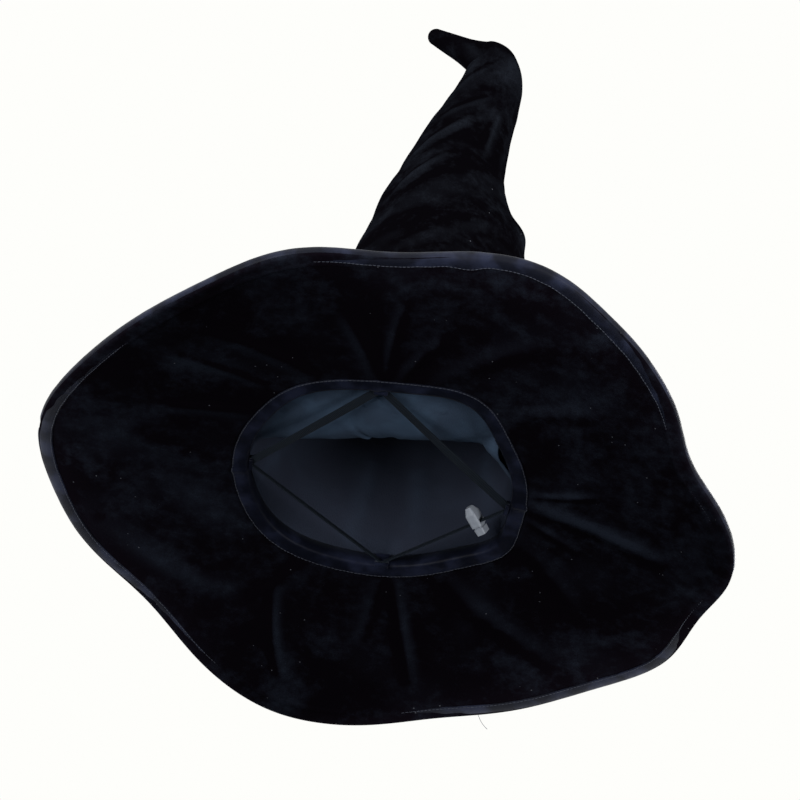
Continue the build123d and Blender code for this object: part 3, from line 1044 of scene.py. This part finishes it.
# ---- crown ----------------------------------------------------------------------------------
@dataclass
class Crown:
    """The velvet cone with its slumped folds and folded tip, in one cloth over the joint."""

    hinge: Vector
    foot: float
    shape: BrimShape
    around: int = 240
    cloth: float = 1.2 * MM
    levels: int = 200
    bend_start: float = 24 * MM
    foot_bulge_height: float = 34 * MM
    slump: tuple[tuple[float, float, float], ...] = (
        (0, 0, 0),
        (150, 3.0, -1.5),
        (205, 5.5, -2.0),
        (232, 2.8, -2.5),
        (275, 4.7, -6.0),
        (322, 7.8, -3.0),
        (348, 6.4, -0.6),
        (374, -0.2, 0.7),
    )
    tip_angle: float = 66.0
    tip_length: float = 46 * MM
    tip_radii: tuple[tuple[float, float], ...] = (
        (0.0, 16.2),
        (0.25, 13.2),
        (0.5, 9.6),
        (0.8, 7.4),
        (1.0, 5.9),
    )
    knee_radius: float = 15.2
    folds: tuple[Crease, ...] = (
        Crease((352, 52), (330, 96), 12, 2.2),
        Crease((355, 250), (335, 228), 6, -2.4),
        Crease((4, 232), (330, 206), 9, 3.4),
        Crease((200, 190), (330, 262), 11, 1.4),
        Crease((218, 222), (262, 256), 2.6, 1.3),
        Crease((226, 216), (256, 240), 4, -1.0),
        Crease((216, 262), (272, 300), 2.6, 1.3),
        Crease((232, 262), (272, 290), 4, -1.0),
        Crease((228, 300), (285, 322), 2.4, 0.9),
        Crease((214, 330), (262, 352), 3, 1.0),
        Crease((301, 270), (307, 316), 3, 1.5),
        Crease((292, 276), (298, 308), 4, -1.1),
        Crease((318, 240), (326, 300), 5, 1.2),
        Crease((250, 338), (300, 362), 7, 1.8),
        Crease((268, 372), (345, 350), 5, 2.2),
        Crease((250, 380), (212, 360), 3.4, -2.0),
        Crease((262, 386), (225, 372), 3.0, 1.6),
        Crease((60, 120), (150, 210), 12, 2.6),
        Crease((40, 190), (140, 280), 8, 2.2),
        Crease((70, 205), (120, 262), 3, -1.2),
        Crease((80, 250), (170, 320), 7, 1.8),
        Crease((30, 60), (110, 90), 14, 2.4),
        Crease((235, 60), (290, 110), 14, 2.2),
        Crease((246, 150), (300, 196), 8, 1.4),
        Crease((170, 60), (215, 130), 12, 2.0),
    )
    # Painted sheen: patches of painted highlight on the crown velvet, as lines whose lift is their strength.
    painted_sheen_patches: tuple[Crease, ...] = (
        Crease((219, 350), (231, 374), 5, 0.8),
        Crease((220, 224), (260, 256), 1.8, 0.7),
        Crease((218, 264), (270, 300), 1.8, 0.7),
        Crease((302, 274), (307, 314), 1.8, 0.7),
        Crease((300, 330), (318, 368), 12, 0.25),
        Crease((215, 310), (235, 350), 12, 0.2),
    )
    probe: Probe = field(init=False)

    def __post_init__(self) -> None:
        """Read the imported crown."""
        self.probe = Probe("crown_velvet")

    def packed_ovals(self) -> Array:
        """Centre x, y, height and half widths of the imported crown, level by level."""
        heights = np.linspace(self.foot, self.hinge.z - self.bend_start, self.levels)
        x, y = -7 * MM, -6 * MM
        ovals = []
        for z in heights:
            right = self.probe.from_side(Vector((x, y, z)), Vector((1, 0, 0)))
            left = self.probe.from_side(Vector((x, y, z)), Vector((-1, 0, 0)))
            far = self.probe.from_side(Vector((x, y, z)), Vector((0, 1, 0)))
            near = self.probe.from_side(Vector((x, y, z)), Vector((0, -1, 0)))
            x, y = (right.x + left.x) / 2, (far.y + near.y) / 2
            ovals.append((x, y, z, (right.x - left.x) / 2, (far.y - near.y) / 2))
        table = np.array(ovals)
        for column in (0, 1, 3, 4):
            table[:, column] = smooth_open(table[:, column], 60)
        knots = np.array(self.slump)
        height = (table[:, 2] - self.foot) / MM
        aside = smooth_open(np.interp(height, knots[:, 0], knots[:, 1]), 60) * MM
        wider = smooth_open(np.interp(height, knots[:, 0], knots[:, 2]), 60) * MM
        table[:, 0] += aside
        table[:, 3:5] += wider[:, None]
        return table

    def centre_line(self, ovals: Array) -> tuple[Array, Array]:
        """The middle of the cloth tube from foot to tip, and its half widths.

        Args:
            ovals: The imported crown's levels.

        Returns:
            Points, and half widths side to side and near to far, one row each.
        """
        lean = math.radians(self.tip_angle)
        way = np.array([-math.sin(lean), 0.0, math.cos(lean)])
        hinge = np.array(self.hinge)
        last = ovals[-1]
        low = np.array([last[0], last[1], last[2]])
        steps = np.linspace(0, 1, 26)[1:, None]
        knee = hinge + np.array([3.0, 0, 4.0]) * MM
        bend_end = hinge + way * 9 * MM
        bend = (1 - steps) ** 2 * low + 2 * steps * (1 - steps) * knee + steps**2 * bend_end
        run = np.linspace(0, 1, 22)[1:, None]
        finger = bend_end + way * run * (self.tip_length - 9 * MM)
        points = np.concatenate([ovals[:, :3], bend, finger])
        knee_widths = np.array([self.knee_radius, self.knee_radius]) * MM
        widths_bend = last[3:5] + (knee_widths - last[3:5]) * (steps**0.8)
        share = 0.25 + 0.75 * run
        radii = np.interp(share[:, 0], [a for a, _ in self.tip_radii], [b for _, b in self.tip_radii]) * MM
        narrowing = self.tip_radii[1][1] * MM / (self.knee_radius * MM)
        radii_bend = np.interp(np.linspace(0, 1, 25), [0, 0.55, 1], [1, 1, narrowing])
        widths = np.concatenate(
            [ovals[:, 3:5], widths_bend * radii_bend[:, None], np.stack([radii, radii], axis=1)]
        )
        for column in range(2):
            widths[:, column] = smooth_open(widths[:, column], 6)
        for column in range(3):
            tail = slice(len(ovals) - 12, None)
            points[tail, column] = smooth_open(points[tail, column], 4)
        return points, widths

    def surface(self) -> tuple[Array, Array]:
        """The cloth's outside.

        Returns:
            Points, rings by points round by three, and the painted shade and painted sheen at each.
        """
        ovals = self.packed_ovals()
        centres, widths = self.centre_line(ovals)
        ahead = np.gradient(centres, axis=0)
        flat = np.array([0, 0, 1.0])
        bent = np.clip((np.arange(len(centres)) - len(ovals) + 14) / 14, 0, 1)[:, None]
        ahead = flat * (1 - bent) + bent * ahead / np.linalg.norm(ahead, axis=1)[:, None]
        ahead /= np.linalg.norm(ahead, axis=1)[:, None]
        near = np.broadcast_to(np.array([0, 1.0, 0]), ahead.shape)
        side = np.cross(near, ahead)
        side /= np.linalg.norm(side, axis=1)[:, None]
        turns = np.radians(np.arange(self.around) * 360 / self.around)
        cos, sin = np.cos(turns), np.sin(turns)
        rings = (
            centres[:, None]
            + side[:, None] * (widths[:, 0, None] * cos)[..., None]
            + near[:, None] * (widths[:, 1, None] * sin)[..., None]
        )
        outwards = side[:, None] * cos[None, :, None] + near[:, None] * sin[None, :, None]
        angle = np.broadcast_to(np.degrees(turns), rings.shape[:2])
        height = np.broadcast_to((centres[:, 2, None] - self.foot) / MM, rings.shape[:2])
        radius = np.broadcast_to(widths.mean(axis=1)[:, None] / MM, rings.shape[:2])
        lift = sum(fold.over(angle, height, radius) for fold in self.folds)
        rows = np.arange(len(rings))
        fade = np.clip(rows / 6, 0, 1) * np.clip((len(rings) - rows) / 30, 0.15, 1)
        slow_roll, fine_roll = rolling(rings, 0.03, 4.0), rolling(rings, 0.011, 9.0)
        lift = (lift + slow_roll * 0.8 * MM + fine_roll * 0.25 * MM) * fade[:, None]
        # Painted highlight and shade: each fold lighter on one flank and darker on the other, plus the
        # painted sheen patches.
        shade = np.gradient(lift, axis=0) - 0.4 * np.gradient(lift, axis=1)
        shade = np.clip(shade / np.percentile(np.abs(shade), 99.3), -0.6, 1) * 0.45
        shade = shade + sum(sheen.over(angle, height, radius) for sheen in self.painted_sheen_patches) / MM
        rise = np.maximum(rings[..., 2] - self.foot, 0) / self.foot_bulge_height
        from_centre = rings - np.array(self.shape.centre)
        bulge = self.shape.opening_bulge(np.degrees(np.arctan2(from_centre[..., 1], from_centre[..., 0])))
        return rings + outwards * (lift + bulge * np.exp(-(rise**1.5)))[..., None], shade

    def wall_reach(self, z: float, x0: float, y0: float, angle: Array) -> Array:
        """Reach of the cloth's inner face from a place at a height, at each angle."""
        rings = self.outer_rings
        level = np.interp(z, self.ring_heights, np.arange(len(rings)))
        low = min(int(level), len(rings) - 2)
        share = level - low
        ring = rings[low] * (1 - share) + rings[low + 1] * share
        degrees = np.degrees(np.arctan2(ring[:, 1] - y0, ring[:, 0] - x0)) % 360
        reach = np.hypot(ring[:, 0] - x0, ring[:, 1] - y0)
        order = np.argsort(degrees)
        turns = np.concatenate([degrees[order] - 360, degrees[order], degrees[order] + 360])
        return np.interp(angle, turns, np.tile(reach[order], 3)) - self.cloth

    def build(self, material: bpy.types.Material) -> bpy.types.Object:
        """The crown's cloth with its rounded tip, as one closed piece."""
        outer, shade = self.surface()
        below_bend = outer[: self.levels - 14]
        self.outer_rings, self.ring_heights = below_bend, below_bend[..., 2].mean(axis=1)
        end = outer[-1].mean(axis=0)
        way = end - outer[-2].mean(axis=0)
        way /= np.linalg.norm(way)
        radius = np.linalg.norm(outer[-1] - end, axis=1).mean()
        caps = []
        for step in range(1, 8):
            turn = math.radians(step * 12.2)
            caps.append(end + (outer[-1] - end) * math.cos(turn) + way * radius * math.sin(turn))
        outer = np.concatenate([outer, np.array(caps)])
        shade = np.concatenate([shade, np.repeat(shade[-1:], len(caps), axis=0)])
        rows, around = outer.shape[:2]
        level_centres = outer.mean(axis=1, keepdims=True)
        toward = level_centres - outer
        toward /= np.linalg.norm(toward, axis=2, keepdims=True)
        inner = outer + toward * self.cloth
        mesh = ring_sheet("crown_cloth", outer, inner)
        work = mesh
        # The cloth's attribute carries the painted shade and sheen.
        values = np.concatenate([shade.ravel(), np.zeros(shade.size)])
        face_normals_outwards(work)
        attribute = work.attributes.new("nap_and_painted_light", "FLOAT", "POINT")
        attribute.data.foreach_set("value", values.astype(np.float32))
        LOG.info("crown cloth: %d rings of %d points", rows, around)
        return new_piece("crown_cloth", work, material)


# ---- lining ---------------------------------------------------------------------------------
@dataclass
class Lining:
    """The brushed lining: a cone whose near side has come away and sags across the opening."""

    centre: Vector
    seat: float
    apex: Vector
    around: int = 200
    cloth: float = 0.9 * MM
    gap: float = 1.4 * MM
    tilt: float = 0.25
    sag: tuple[tuple[float, float], ...] = (
        (-92, 1.5),
        (-72, 3.0),
        (-52, 4.5),
        (-36, 8),
        (-26, 13),
        (-22, 21),
        (-25, 31),
        (-36, 42),
        (-54, 54),
        (-74, 63),
        (-99, 72),
    )
    folds: tuple[Crease, ...] = (
        Crease((326, 12), (346, 20), 17, 15),
        Crease((340, 16), (355, 22), 13, 8),
        Crease((236, 5), (231, 30), 5, -3.5),
        Crease((228, 8), (222, 34), 6, 3.0),
        Crease((290, 6), (286, 34), 9, 1.6),
        Crease((100, 10), (96, 150), 6, 1.6),
        Crease((128, 10), (122, 170), 5, -1.6),
        Crease((70, 20), (78, 160), 7, 1.4),
        Crease((30, 10), (36, 120), 8, 1.4),
        Crease((196, 12), (190, 130), 5, 2.6),
        Crease((155, 10), (150, 120), 8, 1.6),
    )

    def levels(self) -> tuple[Array, Array]:
        """Heights over the seat in millimetres, and how near the sag lets the cloth come (y)."""
        knots = np.array(self.sag)
        dense = np.linspace(0, len(knots) - 1, 60)
        index = np.arange(len(knots))
        y = smooth_open(np.interp(dense, index, knots[:, 0]), 6)
        z = smooth_open(np.interp(dense, index, knots[:, 1]), 6)
        above = np.linspace(z[-1] + 3, (self.apex.z - self.seat) / MM, 60)
        return np.concatenate([z, above]), np.concatenate([y, np.full(60, -400.0)])

    def surface(self, crown: Crown) -> tuple[Array, Array]:
        """The lining's visible face.

        Args:
            crown: The crown it hangs in.

        Returns:
            Points, rings by points round by three, and how far each has come away from the wall, 0 to 1,
            which the lining's colour uses as painted light.
        """
        ovals = crown.packed_ovals()
        heights, limits = self.levels()
        angle = np.arange(self.around) * 360 / self.around
        cos, sin = np.cos(np.radians(angle)), np.sin(np.radians(angle))
        top = (self.apex.z - self.seat) / MM
        blend = 7 * MM
        rings, away = [], []
        for height, limit in zip(heights, limits):
            z = self.seat + height * MM
            x0, y0 = (np.interp(z, ovals[:, 2], ovals[:, k]) for k in (0, 1))
            closing = max(0.0, (height - 250) / (top - 250))
            wall = (crown.wall_reach(z, x0, y0, angle) - self.gap - self.cloth) * (1 - 0.93 * closing)
            drop = -(sin + self.tilt * cos)
            line = y0 + self.tilt * x0 - (limit + 0.6 * np.sin(np.radians(angle * 7 + 120))) * MM
            reach_line = np.where(drop > 0.04, np.maximum(line, 1 * MM) / np.maximum(drop, 0.04), 10.0)
            gap = np.clip((wall - reach_line) / blend, -30, 30)
            reach = wall - blend * np.log1p(np.exp(gap))
            radius = wall.mean() / MM
            lift = sum(fold.over(angle, np.full_like(angle, height), radius) for fold in self.folds)
            reach = np.clip(reach - lift, 1 * MM, wall)
            rings.append(np.stack([x0 + reach * cos, y0 + reach * sin, np.full_like(cos, z)], axis=1))
            # How far the cloth has come away is later painted on as light.
            away.append(np.clip((wall - reach) / (9 * MM), 0, 1) * float(height < 74))
        grid = np.array(rings)
        swell = rolling(grid, 0.022, 2.0)
        grid[..., 2] += swell * 1.2 * MM * np.array(away)
        return grid, np.array(away)

    def build(self, crown: Crown, material: bpy.types.Material) -> bpy.types.Object:
        """The lining as one closed shell with a stitched-up apex."""
        inner, painted_light_share = self.surface(crown)
        centre = inner.mean(axis=1, keepdims=True)
        away = inner - centre
        away /= np.maximum(np.linalg.norm(away, axis=2, keepdims=True), 1e-9)
        normal = np.cross(np.gradient(inner, axis=1), np.gradient(inner, axis=0))
        normal /= np.maximum(np.linalg.norm(normal, axis=2, keepdims=True), 1e-9)
        flip = np.sign(np.sum(normal * away, axis=2, keepdims=True))
        flip[flip == 0] = 1
        outer = inner + (0.6 * normal * flip + 0.4 * away) * self.cloth
        mesh = ring_sheet("lining_cloth", inner, outer, flip=True)
        face_normals_outwards(mesh)
        # The attribute carries the painted light of the sagging cloth.
        painted_light = mesh.attributes.new("nap_and_painted_light", "FLOAT", "POINT")
        painted_light.data.foreach_set("value", np.tile(painted_light_share.ravel(), 2).astype(np.float32))
        return new_piece("lining_cloth", mesh, material)


# ---- head opening ---------------------------------------------------------------------------
@dataclass
class HeadBinding:
    """The flat tape under the opening's edge, which turns up inside it."""

    shape: BrimShape
    width: float = 9 * MM
    rise: float = 9 * MM
    tape: float = 0.8 * MM

    def profile_rings(self) -> Array:
        """The tape's section at each angle."""
        face = self.shape.face(Side.UNDER, 90)
        rings = []
        for column, way in enumerate(self.shape.ways):
            angle = column * 360 / self.shape.angles
            join = sum(
                math.exp(-((turn_between(angle, at) / 1.6) ** 2)) for at in (262.0, 1.0, 172.0)
            )
            slow_pucker = 0.12 * math.sin(math.radians(angle * 47 + 20))
            pucker = 0.12 * math.sin(math.radians(angle * 83)) + slow_pucker
            edge = Vector(face[0, column])
            radial = np.linalg.norm(face[:, column, :2] - face[0, column, :2], axis=1)
            outer_z = float(np.interp(self.width, radial, face[:, column, 2]))
            out = Vector((way[0], way[1], 0))
            drop = self.tape + (0.35 + 0.3 * pucker + 0.9 * join) * MM
            wide = self.width * (1 + 0.05 * pucker + 0.10 * join)
            section = [
                edge + out * wide + Vector((0, 0, outer_z - edge.z)),
                edge + out * wide + Vector((0, 0, outer_z - edge.z - drop * 0.8)),
                edge + out * wide * 0.86 + Vector((0, 0, (outer_z - edge.z) * 0.86 - drop)),
                edge + out * wide * 0.45 + Vector((0, 0, (outer_z - edge.z) * 0.45 - drop * 0.94)),
                edge + out * wide * 0.12 + Vector((0, 0, -drop)),
                edge + out * -0.5 * MM + Vector((0, 0, -drop * 0.8)),
                edge + out * -0.95 * MM + Vector((0, 0, 0.4 * MM)),
                edge + out * -0.95 * MM + Vector((0, 0, self.rise)),
                edge + out * -0.15 * MM + Vector((0, 0, self.rise)),
                edge + out * -0.15 * MM + Vector((0, 0, 0.1 * MM)),
            ]
            rings.append(section)
        return np.array(rings)

    def build(self, material: bpy.types.Material) -> bpy.types.Object:
        """The tape, as one closed band."""
        mesh = tube_mesh("head_binding_tape", self.profile_rings())
        face_normals_outwards(mesh)
        return new_piece("head_binding_tape", mesh, material)

    def stitch_lines(self) -> list[Array]:
        """The row of stitches along the flat tape's outer edge."""
        rings = self.profile_rings()
        return [rings[:, 1] * 0.7 + rings[:, 2] * 0.3 + np.array([0, 0, -0.12 * MM])]


# ---- size adjuster --------------------------------------------------------------------------
@dataclass
class SizeAdjuster:
    """Flat elastic across the opening, tacked to its binding at four places."""

    centre: Vector
    level: float
    half_x: float = 85.1 * MM
    half_y: float = 81.1 * MM
    width: float = 6.0 * MM
    thick: float = 0.9 * MM
    lean: float = 65.0
    tacks: dict[str, float] = field(default_factory=lambda: {"left": 175, "near": 264, "right": 6, "far": 83})

    def tack(self, name: str) -> np.ndarray:
        """Where a tack holds the elastic."""
        turn = math.radians(self.tacks[name])
        return np.array(
            [
                self.centre.x + self.half_x * math.cos(turn),
                self.centre.y + self.half_y * math.sin(turn),
                self.level,
            ]
        )

    def run(self, start: Array, end: Array, steps: int = 60) -> Array:
        """Points of a straight run."""
        share = np.linspace(0, 1, steps)[:, None]
        return start * (1 - share) + end * share

    def build_near(self, material: bpy.types.Material) -> list[bpy.types.Object]:
        """The two runs that lie flat, with a hair of sag and twist."""
        pieces = []
        for name, start, end in (("left", "left", "near"), ("right", "near", "right")):
            a, b = self.tack(start), self.tack(end)
            way = (b - a) / np.linalg.norm(b - a)
            line = self.run(a + way * 0.4 * MM, b - way * 0.4 * MM)
            share = np.linspace(0, 1, len(line))
            line[:, 2] -= 0.8 * MM * np.sin(np.pi * share)
            flat = np.cross([0, 0, 1.0], way)
            tilt = np.radians(7 * np.sin(np.pi * 2 * share))[:, None]
            across = flat * np.cos(tilt) + np.array([0, 0, 1.0]) * np.sin(tilt)
            out = np.cross(across, way)
            mesh = ribbon_mesh(f"elastic_near_{name}", line, across, out, self.width, self.thick)
            pieces.append(new_piece(f"elastic_near_{name}", mesh, material))
        return pieces

    def build_far(self, material: bpy.types.Material) -> list[bpy.types.Object]:
        """The two runs that stand on edge."""
        pieces = []
        lean = math.radians(self.lean)
        for name in ("left", "right"):
            a, b = self.tack(name), self.tack("far")
            way = (b - a) / np.linalg.norm(b - a)
            line = self.run(a + way * 2.0 * MM, b - way * 1.0 * MM)
            out = np.cross([0, 0, 1.0], way)
            middle = (a + b) / 2 - np.array([self.centre.x, self.centre.y, self.level])
            if out @ middle < 0:
                out = -out
            across = out * math.cos(lean) + np.array([0, 0, 1.0]) * math.sin(lean)
            acrosses = np.repeat(across[None], len(line), axis=0)
            faces = np.cross(acrosses, way)
            mesh = ribbon_mesh(f"elastic_far_{name}", line, acrosses, faces, self.width, self.thick)
            pieces.append(new_piece(f"elastic_far_{name}", mesh, material))
        return pieces

    def tack_lines(self) -> list[Array]:
        """Zigzag stitches over each tack."""
        lines = []
        for name in self.tacks:
            place = self.tack(name)
            inwards = np.array([self.centre.x, self.centre.y, self.level]) - place
            inwards /= np.linalg.norm(inwards)
            side = np.cross([0, 0, 1.0], inwards)
            points = []
            for step in range(25):
                share = step / 24 - 0.5
                zig = 1.0 if step % 2 else 0.2
                drop = np.array([0, 0, 0.8 * MM])
                points.append(place + side * share * 9 * MM + inwards * (0.6 + zig * 1.4) * MM - drop)
            lines.append(np.array(points))
        return lines


# ---- studio ---------------------------------------------------------------------------------
@dataclass
class Studio:
    """Pale floor that is seen from above only, soft lights and the camera below the brim."""

    aim: tuple[float, float, float] = (-2.8 * MM, -6.2 * MM, 12 * MM)
    below: float = 43.6
    turned: float = 9.8
    distance: float = 3.0
    view_width: float = 0.5096
    shift_right: float = 16 * 0.637 * MM
    shift_up: float = 95 * 0.637 * MM

    def floor(self) -> bpy.types.Object:
        """A large floor whose underside is clear."""
        mesh = bpy.data.meshes.new("studio_floor")
        half = 6.0
        corners = [(-half, -half, 0), (half, -half, 0), (half, half, 0), (-half, half, 0)]
        mesh.from_pydata(corners, [], [(0, 1, 2, 3)])
        material = bpy.data.materials.new("studio_floor")
        material.use_nodes = True
        nodes = Nodes(material.node_tree)
        shader = material.node_tree.nodes["Principled BSDF"]
        shader.inputs["Base Color"].default_value = (0.86, 0.86, 0.85, 1)
        shader.inputs["Roughness"].default_value = 0.8
        side = nodes.add("ShaderNodeNewGeometry")
        clear = nodes.add("ShaderNodeBsdfTransparent")
        both = nodes.add("ShaderNodeMixShader")
        tree = material.node_tree
        tree.links.new(side.outputs["Backfacing"], both.inputs["Fac"])
        tree.links.new(shader.outputs["BSDF"], both.inputs[1])
        tree.links.new(clear.outputs["BSDF"], both.inputs[2])
        tree.links.new(both.outputs["Shader"], tree.nodes["Material Output"].inputs["Surface"])
        floor = new_piece("studio_floor", mesh, material)
        floor.visible_shadow = False
        return floor

    def light(self, name: str, place: tuple[float, float, float], size: float, power: float) -> None:
        """A soft square light that looks at the hat."""
        data = bpy.data.lights.new(name, "AREA")
        data.size = size
        data.energy = power
        lamp = bpy.data.objects.new(name, data)
        lamp.location = place
        way = Vector((0, 0, 0.1)) - Vector(place)
        lamp.rotation_mode = "QUATERNION"
        lamp.rotation_quaternion = way.to_track_quat("-Z", "Y")
        bpy.context.scene.collection.objects.link(lamp)

    def camera(self) -> None:
        """The camera, looking up at the brim's underside from the front, a little turned."""
        rise, turn = math.radians(self.below), math.radians(self.turned)
        back = Vector((0, -math.cos(rise), -math.sin(rise)))
        level_right, level_up = Vector((1, 0, 0)), Vector((0, -math.sin(rise), math.cos(rise)))
        right = level_right * math.cos(turn) + level_up * math.sin(turn)
        up = level_up * math.cos(turn) - level_right * math.sin(turn)
        centre = Vector(self.aim) + right * self.shift_right + up * self.shift_up
        data = bpy.data.cameras.new("camera")
        data.sensor_width = 36.0
        data.lens = data.sensor_width * self.distance / self.view_width
        camera = bpy.data.objects.new("camera", data)
        camera.rotation_mode = "QUATERNION"
        camera.rotation_quaternion = Matrix((right, up, back)).transposed().to_quaternion()
        camera.location = centre + back * self.distance
        bpy.context.scene.collection.objects.link(camera)
        bpy.context.scene.camera = camera

    def build(self) -> None:
        """Floor, sky, lights and camera."""
        self.floor()
        world = bpy.data.worlds.new("studio_sky")
        world.use_nodes = True
        sky = world.node_tree.nodes["Background"]
        sky.inputs["Color"].default_value = (0.99, 0.99, 0.965, 1)
        sky.inputs["Strength"].default_value = 1.0
        bpy.context.scene.world = world
        bpy.context.scene.view_settings.view_transform = "Standard"
        self.light("below_left", (-1.5, -1.6, -1.3), 1.3, 34)
        self.light("below_right", (1.7, -1.2, -1.0), 1.0, 18)
        self.light("front_high", (-0.9, -1.9, 1.5), 1.4, 14)
        self.light("back_high", (1.2, 1.8, 1.7), 1.4, 40)
        self.camera()


# ---- the hat --------------------------------------------------------------------------------
@dataclass
class Finishes:
    """Every finish of the hat, built once."""

    velvet: bpy.types.Material = field(init=False)
    velvet_under: bpy.types.Material = field(init=False)
    tape: bpy.types.Material = field(init=False)
    lining: bpy.types.Material = field(init=False)
    elastic: bpy.types.Material = field(init=False)
    thread: bpy.types.Material = field(init=False)
    plastic: bpy.types.Material = field(init=False)
    wire: bpy.types.Material = field(init=False)
    stiffener: bpy.types.Material = field(init=False)

    def __post_init__(self) -> None:
        """Build the shared groups and each material."""
        pile, woven = make_pile_group(), make_tape_group()
        # Two copies of one velvet: the crown's, also used on the brim's top, is painted darker as shade
        # against the stronger light there; the underside's is the lighter copy.
        dark, light = (0.0036, 0.0026, 0.0044), (0.0145, 0.0185, 0.0290)
        dim, lit = (0.0015, 0.0012, 0.0019), (0.0082, 0.0098, 0.0140)
        navy, navy_lit = (0.0040, 0.0050, 0.0110), (0.017, 0.021, 0.043)
        # The lining's colours: painted shade in the deep, painted light where it sags.
        slate, slate_lit = (0.0270, 0.0300, 0.0460), (0.070, 0.112, 0.178)
        ink, ink_lit = (0.005, 0.007, 0.011), (0.017, 0.025, 0.036)
        cotton, cotton_lit = (0.030, 0.034, 0.048), (0.085, 0.095, 0.125)
        crown_pile_shaded_copy = Velvet("crown_velvet", dim, lit, 0.85, 0.002, shine=0.0, patch=0.045, lint=0.6)
        brim_pile_lit_copy = Velvet("brim_velvet", dark, light, 0.85, 0.004, shine=0.0, patch=0.07, lint=0.7)
        self.velvet = crown_pile_shaded_copy.build(pile)
        self.velvet_under = brim_pile_lit_copy.build(pile)
        self.tape = SatinTape("navy_satin", navy, navy_lit, 0.5, 0.02, shine=0.12).build(woven)
        self.lining = Brushed("slate_lining", slate, slate_lit, 0.9, 0.02, shine=0.0).build()
        self.elastic = RibbedElastic("ribbed_elastic", ink, ink_lit, 0.75, 0.04, shine=0.1).build()
        self.thread = Moulded("sewing_thread", cotton, cotton_lit, 0.6, shine=0.2).build()
        self.plastic = Moulded("white_plastic", (0.27, 0.30, 0.36), (0.42, 0.46, 0.52), 0.42).build()
        self.wire = Moulded("rim_wire", (0.42, 0.42, 0.43), (0.6, 0.6, 0.6), 0.35, metal=1.0).build()
        self.stiffener = Moulded("brim_stiffener", (0.03, 0.03, 0.033), (0.05, 0.05, 0.055), 0.95).build()


def dress_nodes(finishes: Finishes) -> None:
    """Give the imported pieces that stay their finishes."""
    dressed = {
        "cord_lock_body": finishes.plastic,
        "cord_lock_plunger": finishes.plastic,
        "elastic_tacks": finishes.tape,
    }
    for name, material in dressed.items():
        for slot in frame["nodes"][name].material_slots:
            slot.material = material


def main() -> None:
    """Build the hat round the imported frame, then its studio."""
    logging.basicConfig(level=logging.INFO, format="%(name)s: %(message)s")
    finishes = Finishes()
    centre = Vector((-7 * MM, -6 * MM, 0))
    joints = {joint["name"]: joint for joint in frame["joints"]}
    hinge = Vector(joints["tip_fold"]["pos_m"])
    body = "hat"

    shape = BrimShape(centre)
    brim = Brim(shape)
    under = brim.build_cloth(Side.UNDER, brim.under_creases, 1.0, finishes.velvet_under)
    top = brim.build_cloth(Side.TOP, brim.top_creases, 6.0, finishes.velvet)
    binding = brim.build_binding(finishes.tape)
    stitching = Stitching(finishes.thread)
    rim_lines = list(brim.seams.values())
    stitch_pitch = 2.6 * MM
    rim_stitches = stitching.along(
        "rim_stitches", rim_lines, True, stitch_pitch, 2.7 * MM, 0.46 * MM
    )
    thread = brim.stray_thread(finishes.thread)
    stiffener = brim.build_stiffener(finishes.stiffener)
    wire, sleeve = brim.build_wire(finishes.wire)

    head = HeadBinding(shape)
    head_tape = head.build(finishes.tape)
    head_stitches = stitching.along(
        "opening_stitches", head.stitch_lines(), True, stitch_pitch, 2.8 * MM, 0.5 * MM
    )

    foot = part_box("crown_velvet")[0].z + 3 * MM
    crown = Crown(hinge, foot, shape)
    cone = crown.build(finishes.velvet)

    lining_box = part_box("crown_lining")
    seat = foot
    low, high = lining_box
    apex = Vector(((low.x + high.x) / 2, (low.y + high.y) / 2, high.z))
    lining = Lining(centre, seat, apex)
    inside = lining.build(crown, finishes.lining)

    near_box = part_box("elastic_near")
    adjuster = SizeAdjuster(centre, (near_box[0].z + near_box[1].z) / 2)
    near_runs = adjuster.build_near(finishes.elastic)
    far_runs = adjuster.build_far(finishes.elastic)
    tack_stitches = stitching.along(
        "tack_stitches", adjuster.tack_lines(), False, 0.9 * MM, 1.3 * MM, 0.45 * MM
    )

    dress_nodes(finishes)
    for piece, slot, nodes in (
        (under, "velvet_underside", ["brim_underside_velvet"]),
        (top, "velvet", ["brim_top_velvet"]),
        (binding, "binding_tape", ["brim_binding"]),
        (rim_stitches, "thread", []),
        (thread, "thread", []),
        (stiffener, "interlining", ["brim_interlining"]),
        (wire, "wire", ["brim_wire"]),
        (sleeve, "wire", ["brim_wire_ferrule"]),
        (head_tape, "binding_tape", ["head_binding"]),
        (head_stitches, "thread", []),
        (inside, "lining", ["crown_lining", "lining_sag"]),
        (near_runs[0], "elastic", ["elastic_near"]),
        (near_runs[1], "elastic", []),
        (far_runs[0], "elastic", ["elastic_far"]),
        (far_runs[1], "elastic", []),
        (tack_stitches, "thread", []),
    ):
        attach(piece, body)
        if nodes:
            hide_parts(*nodes)
        LOG.info("%s: %d points", piece.name, len(piece.data.vertices))

    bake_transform(cone)
    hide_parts("crown_velvet", "crown_tip")

    Studio().build()


if __name__ == "__main__":
    main()
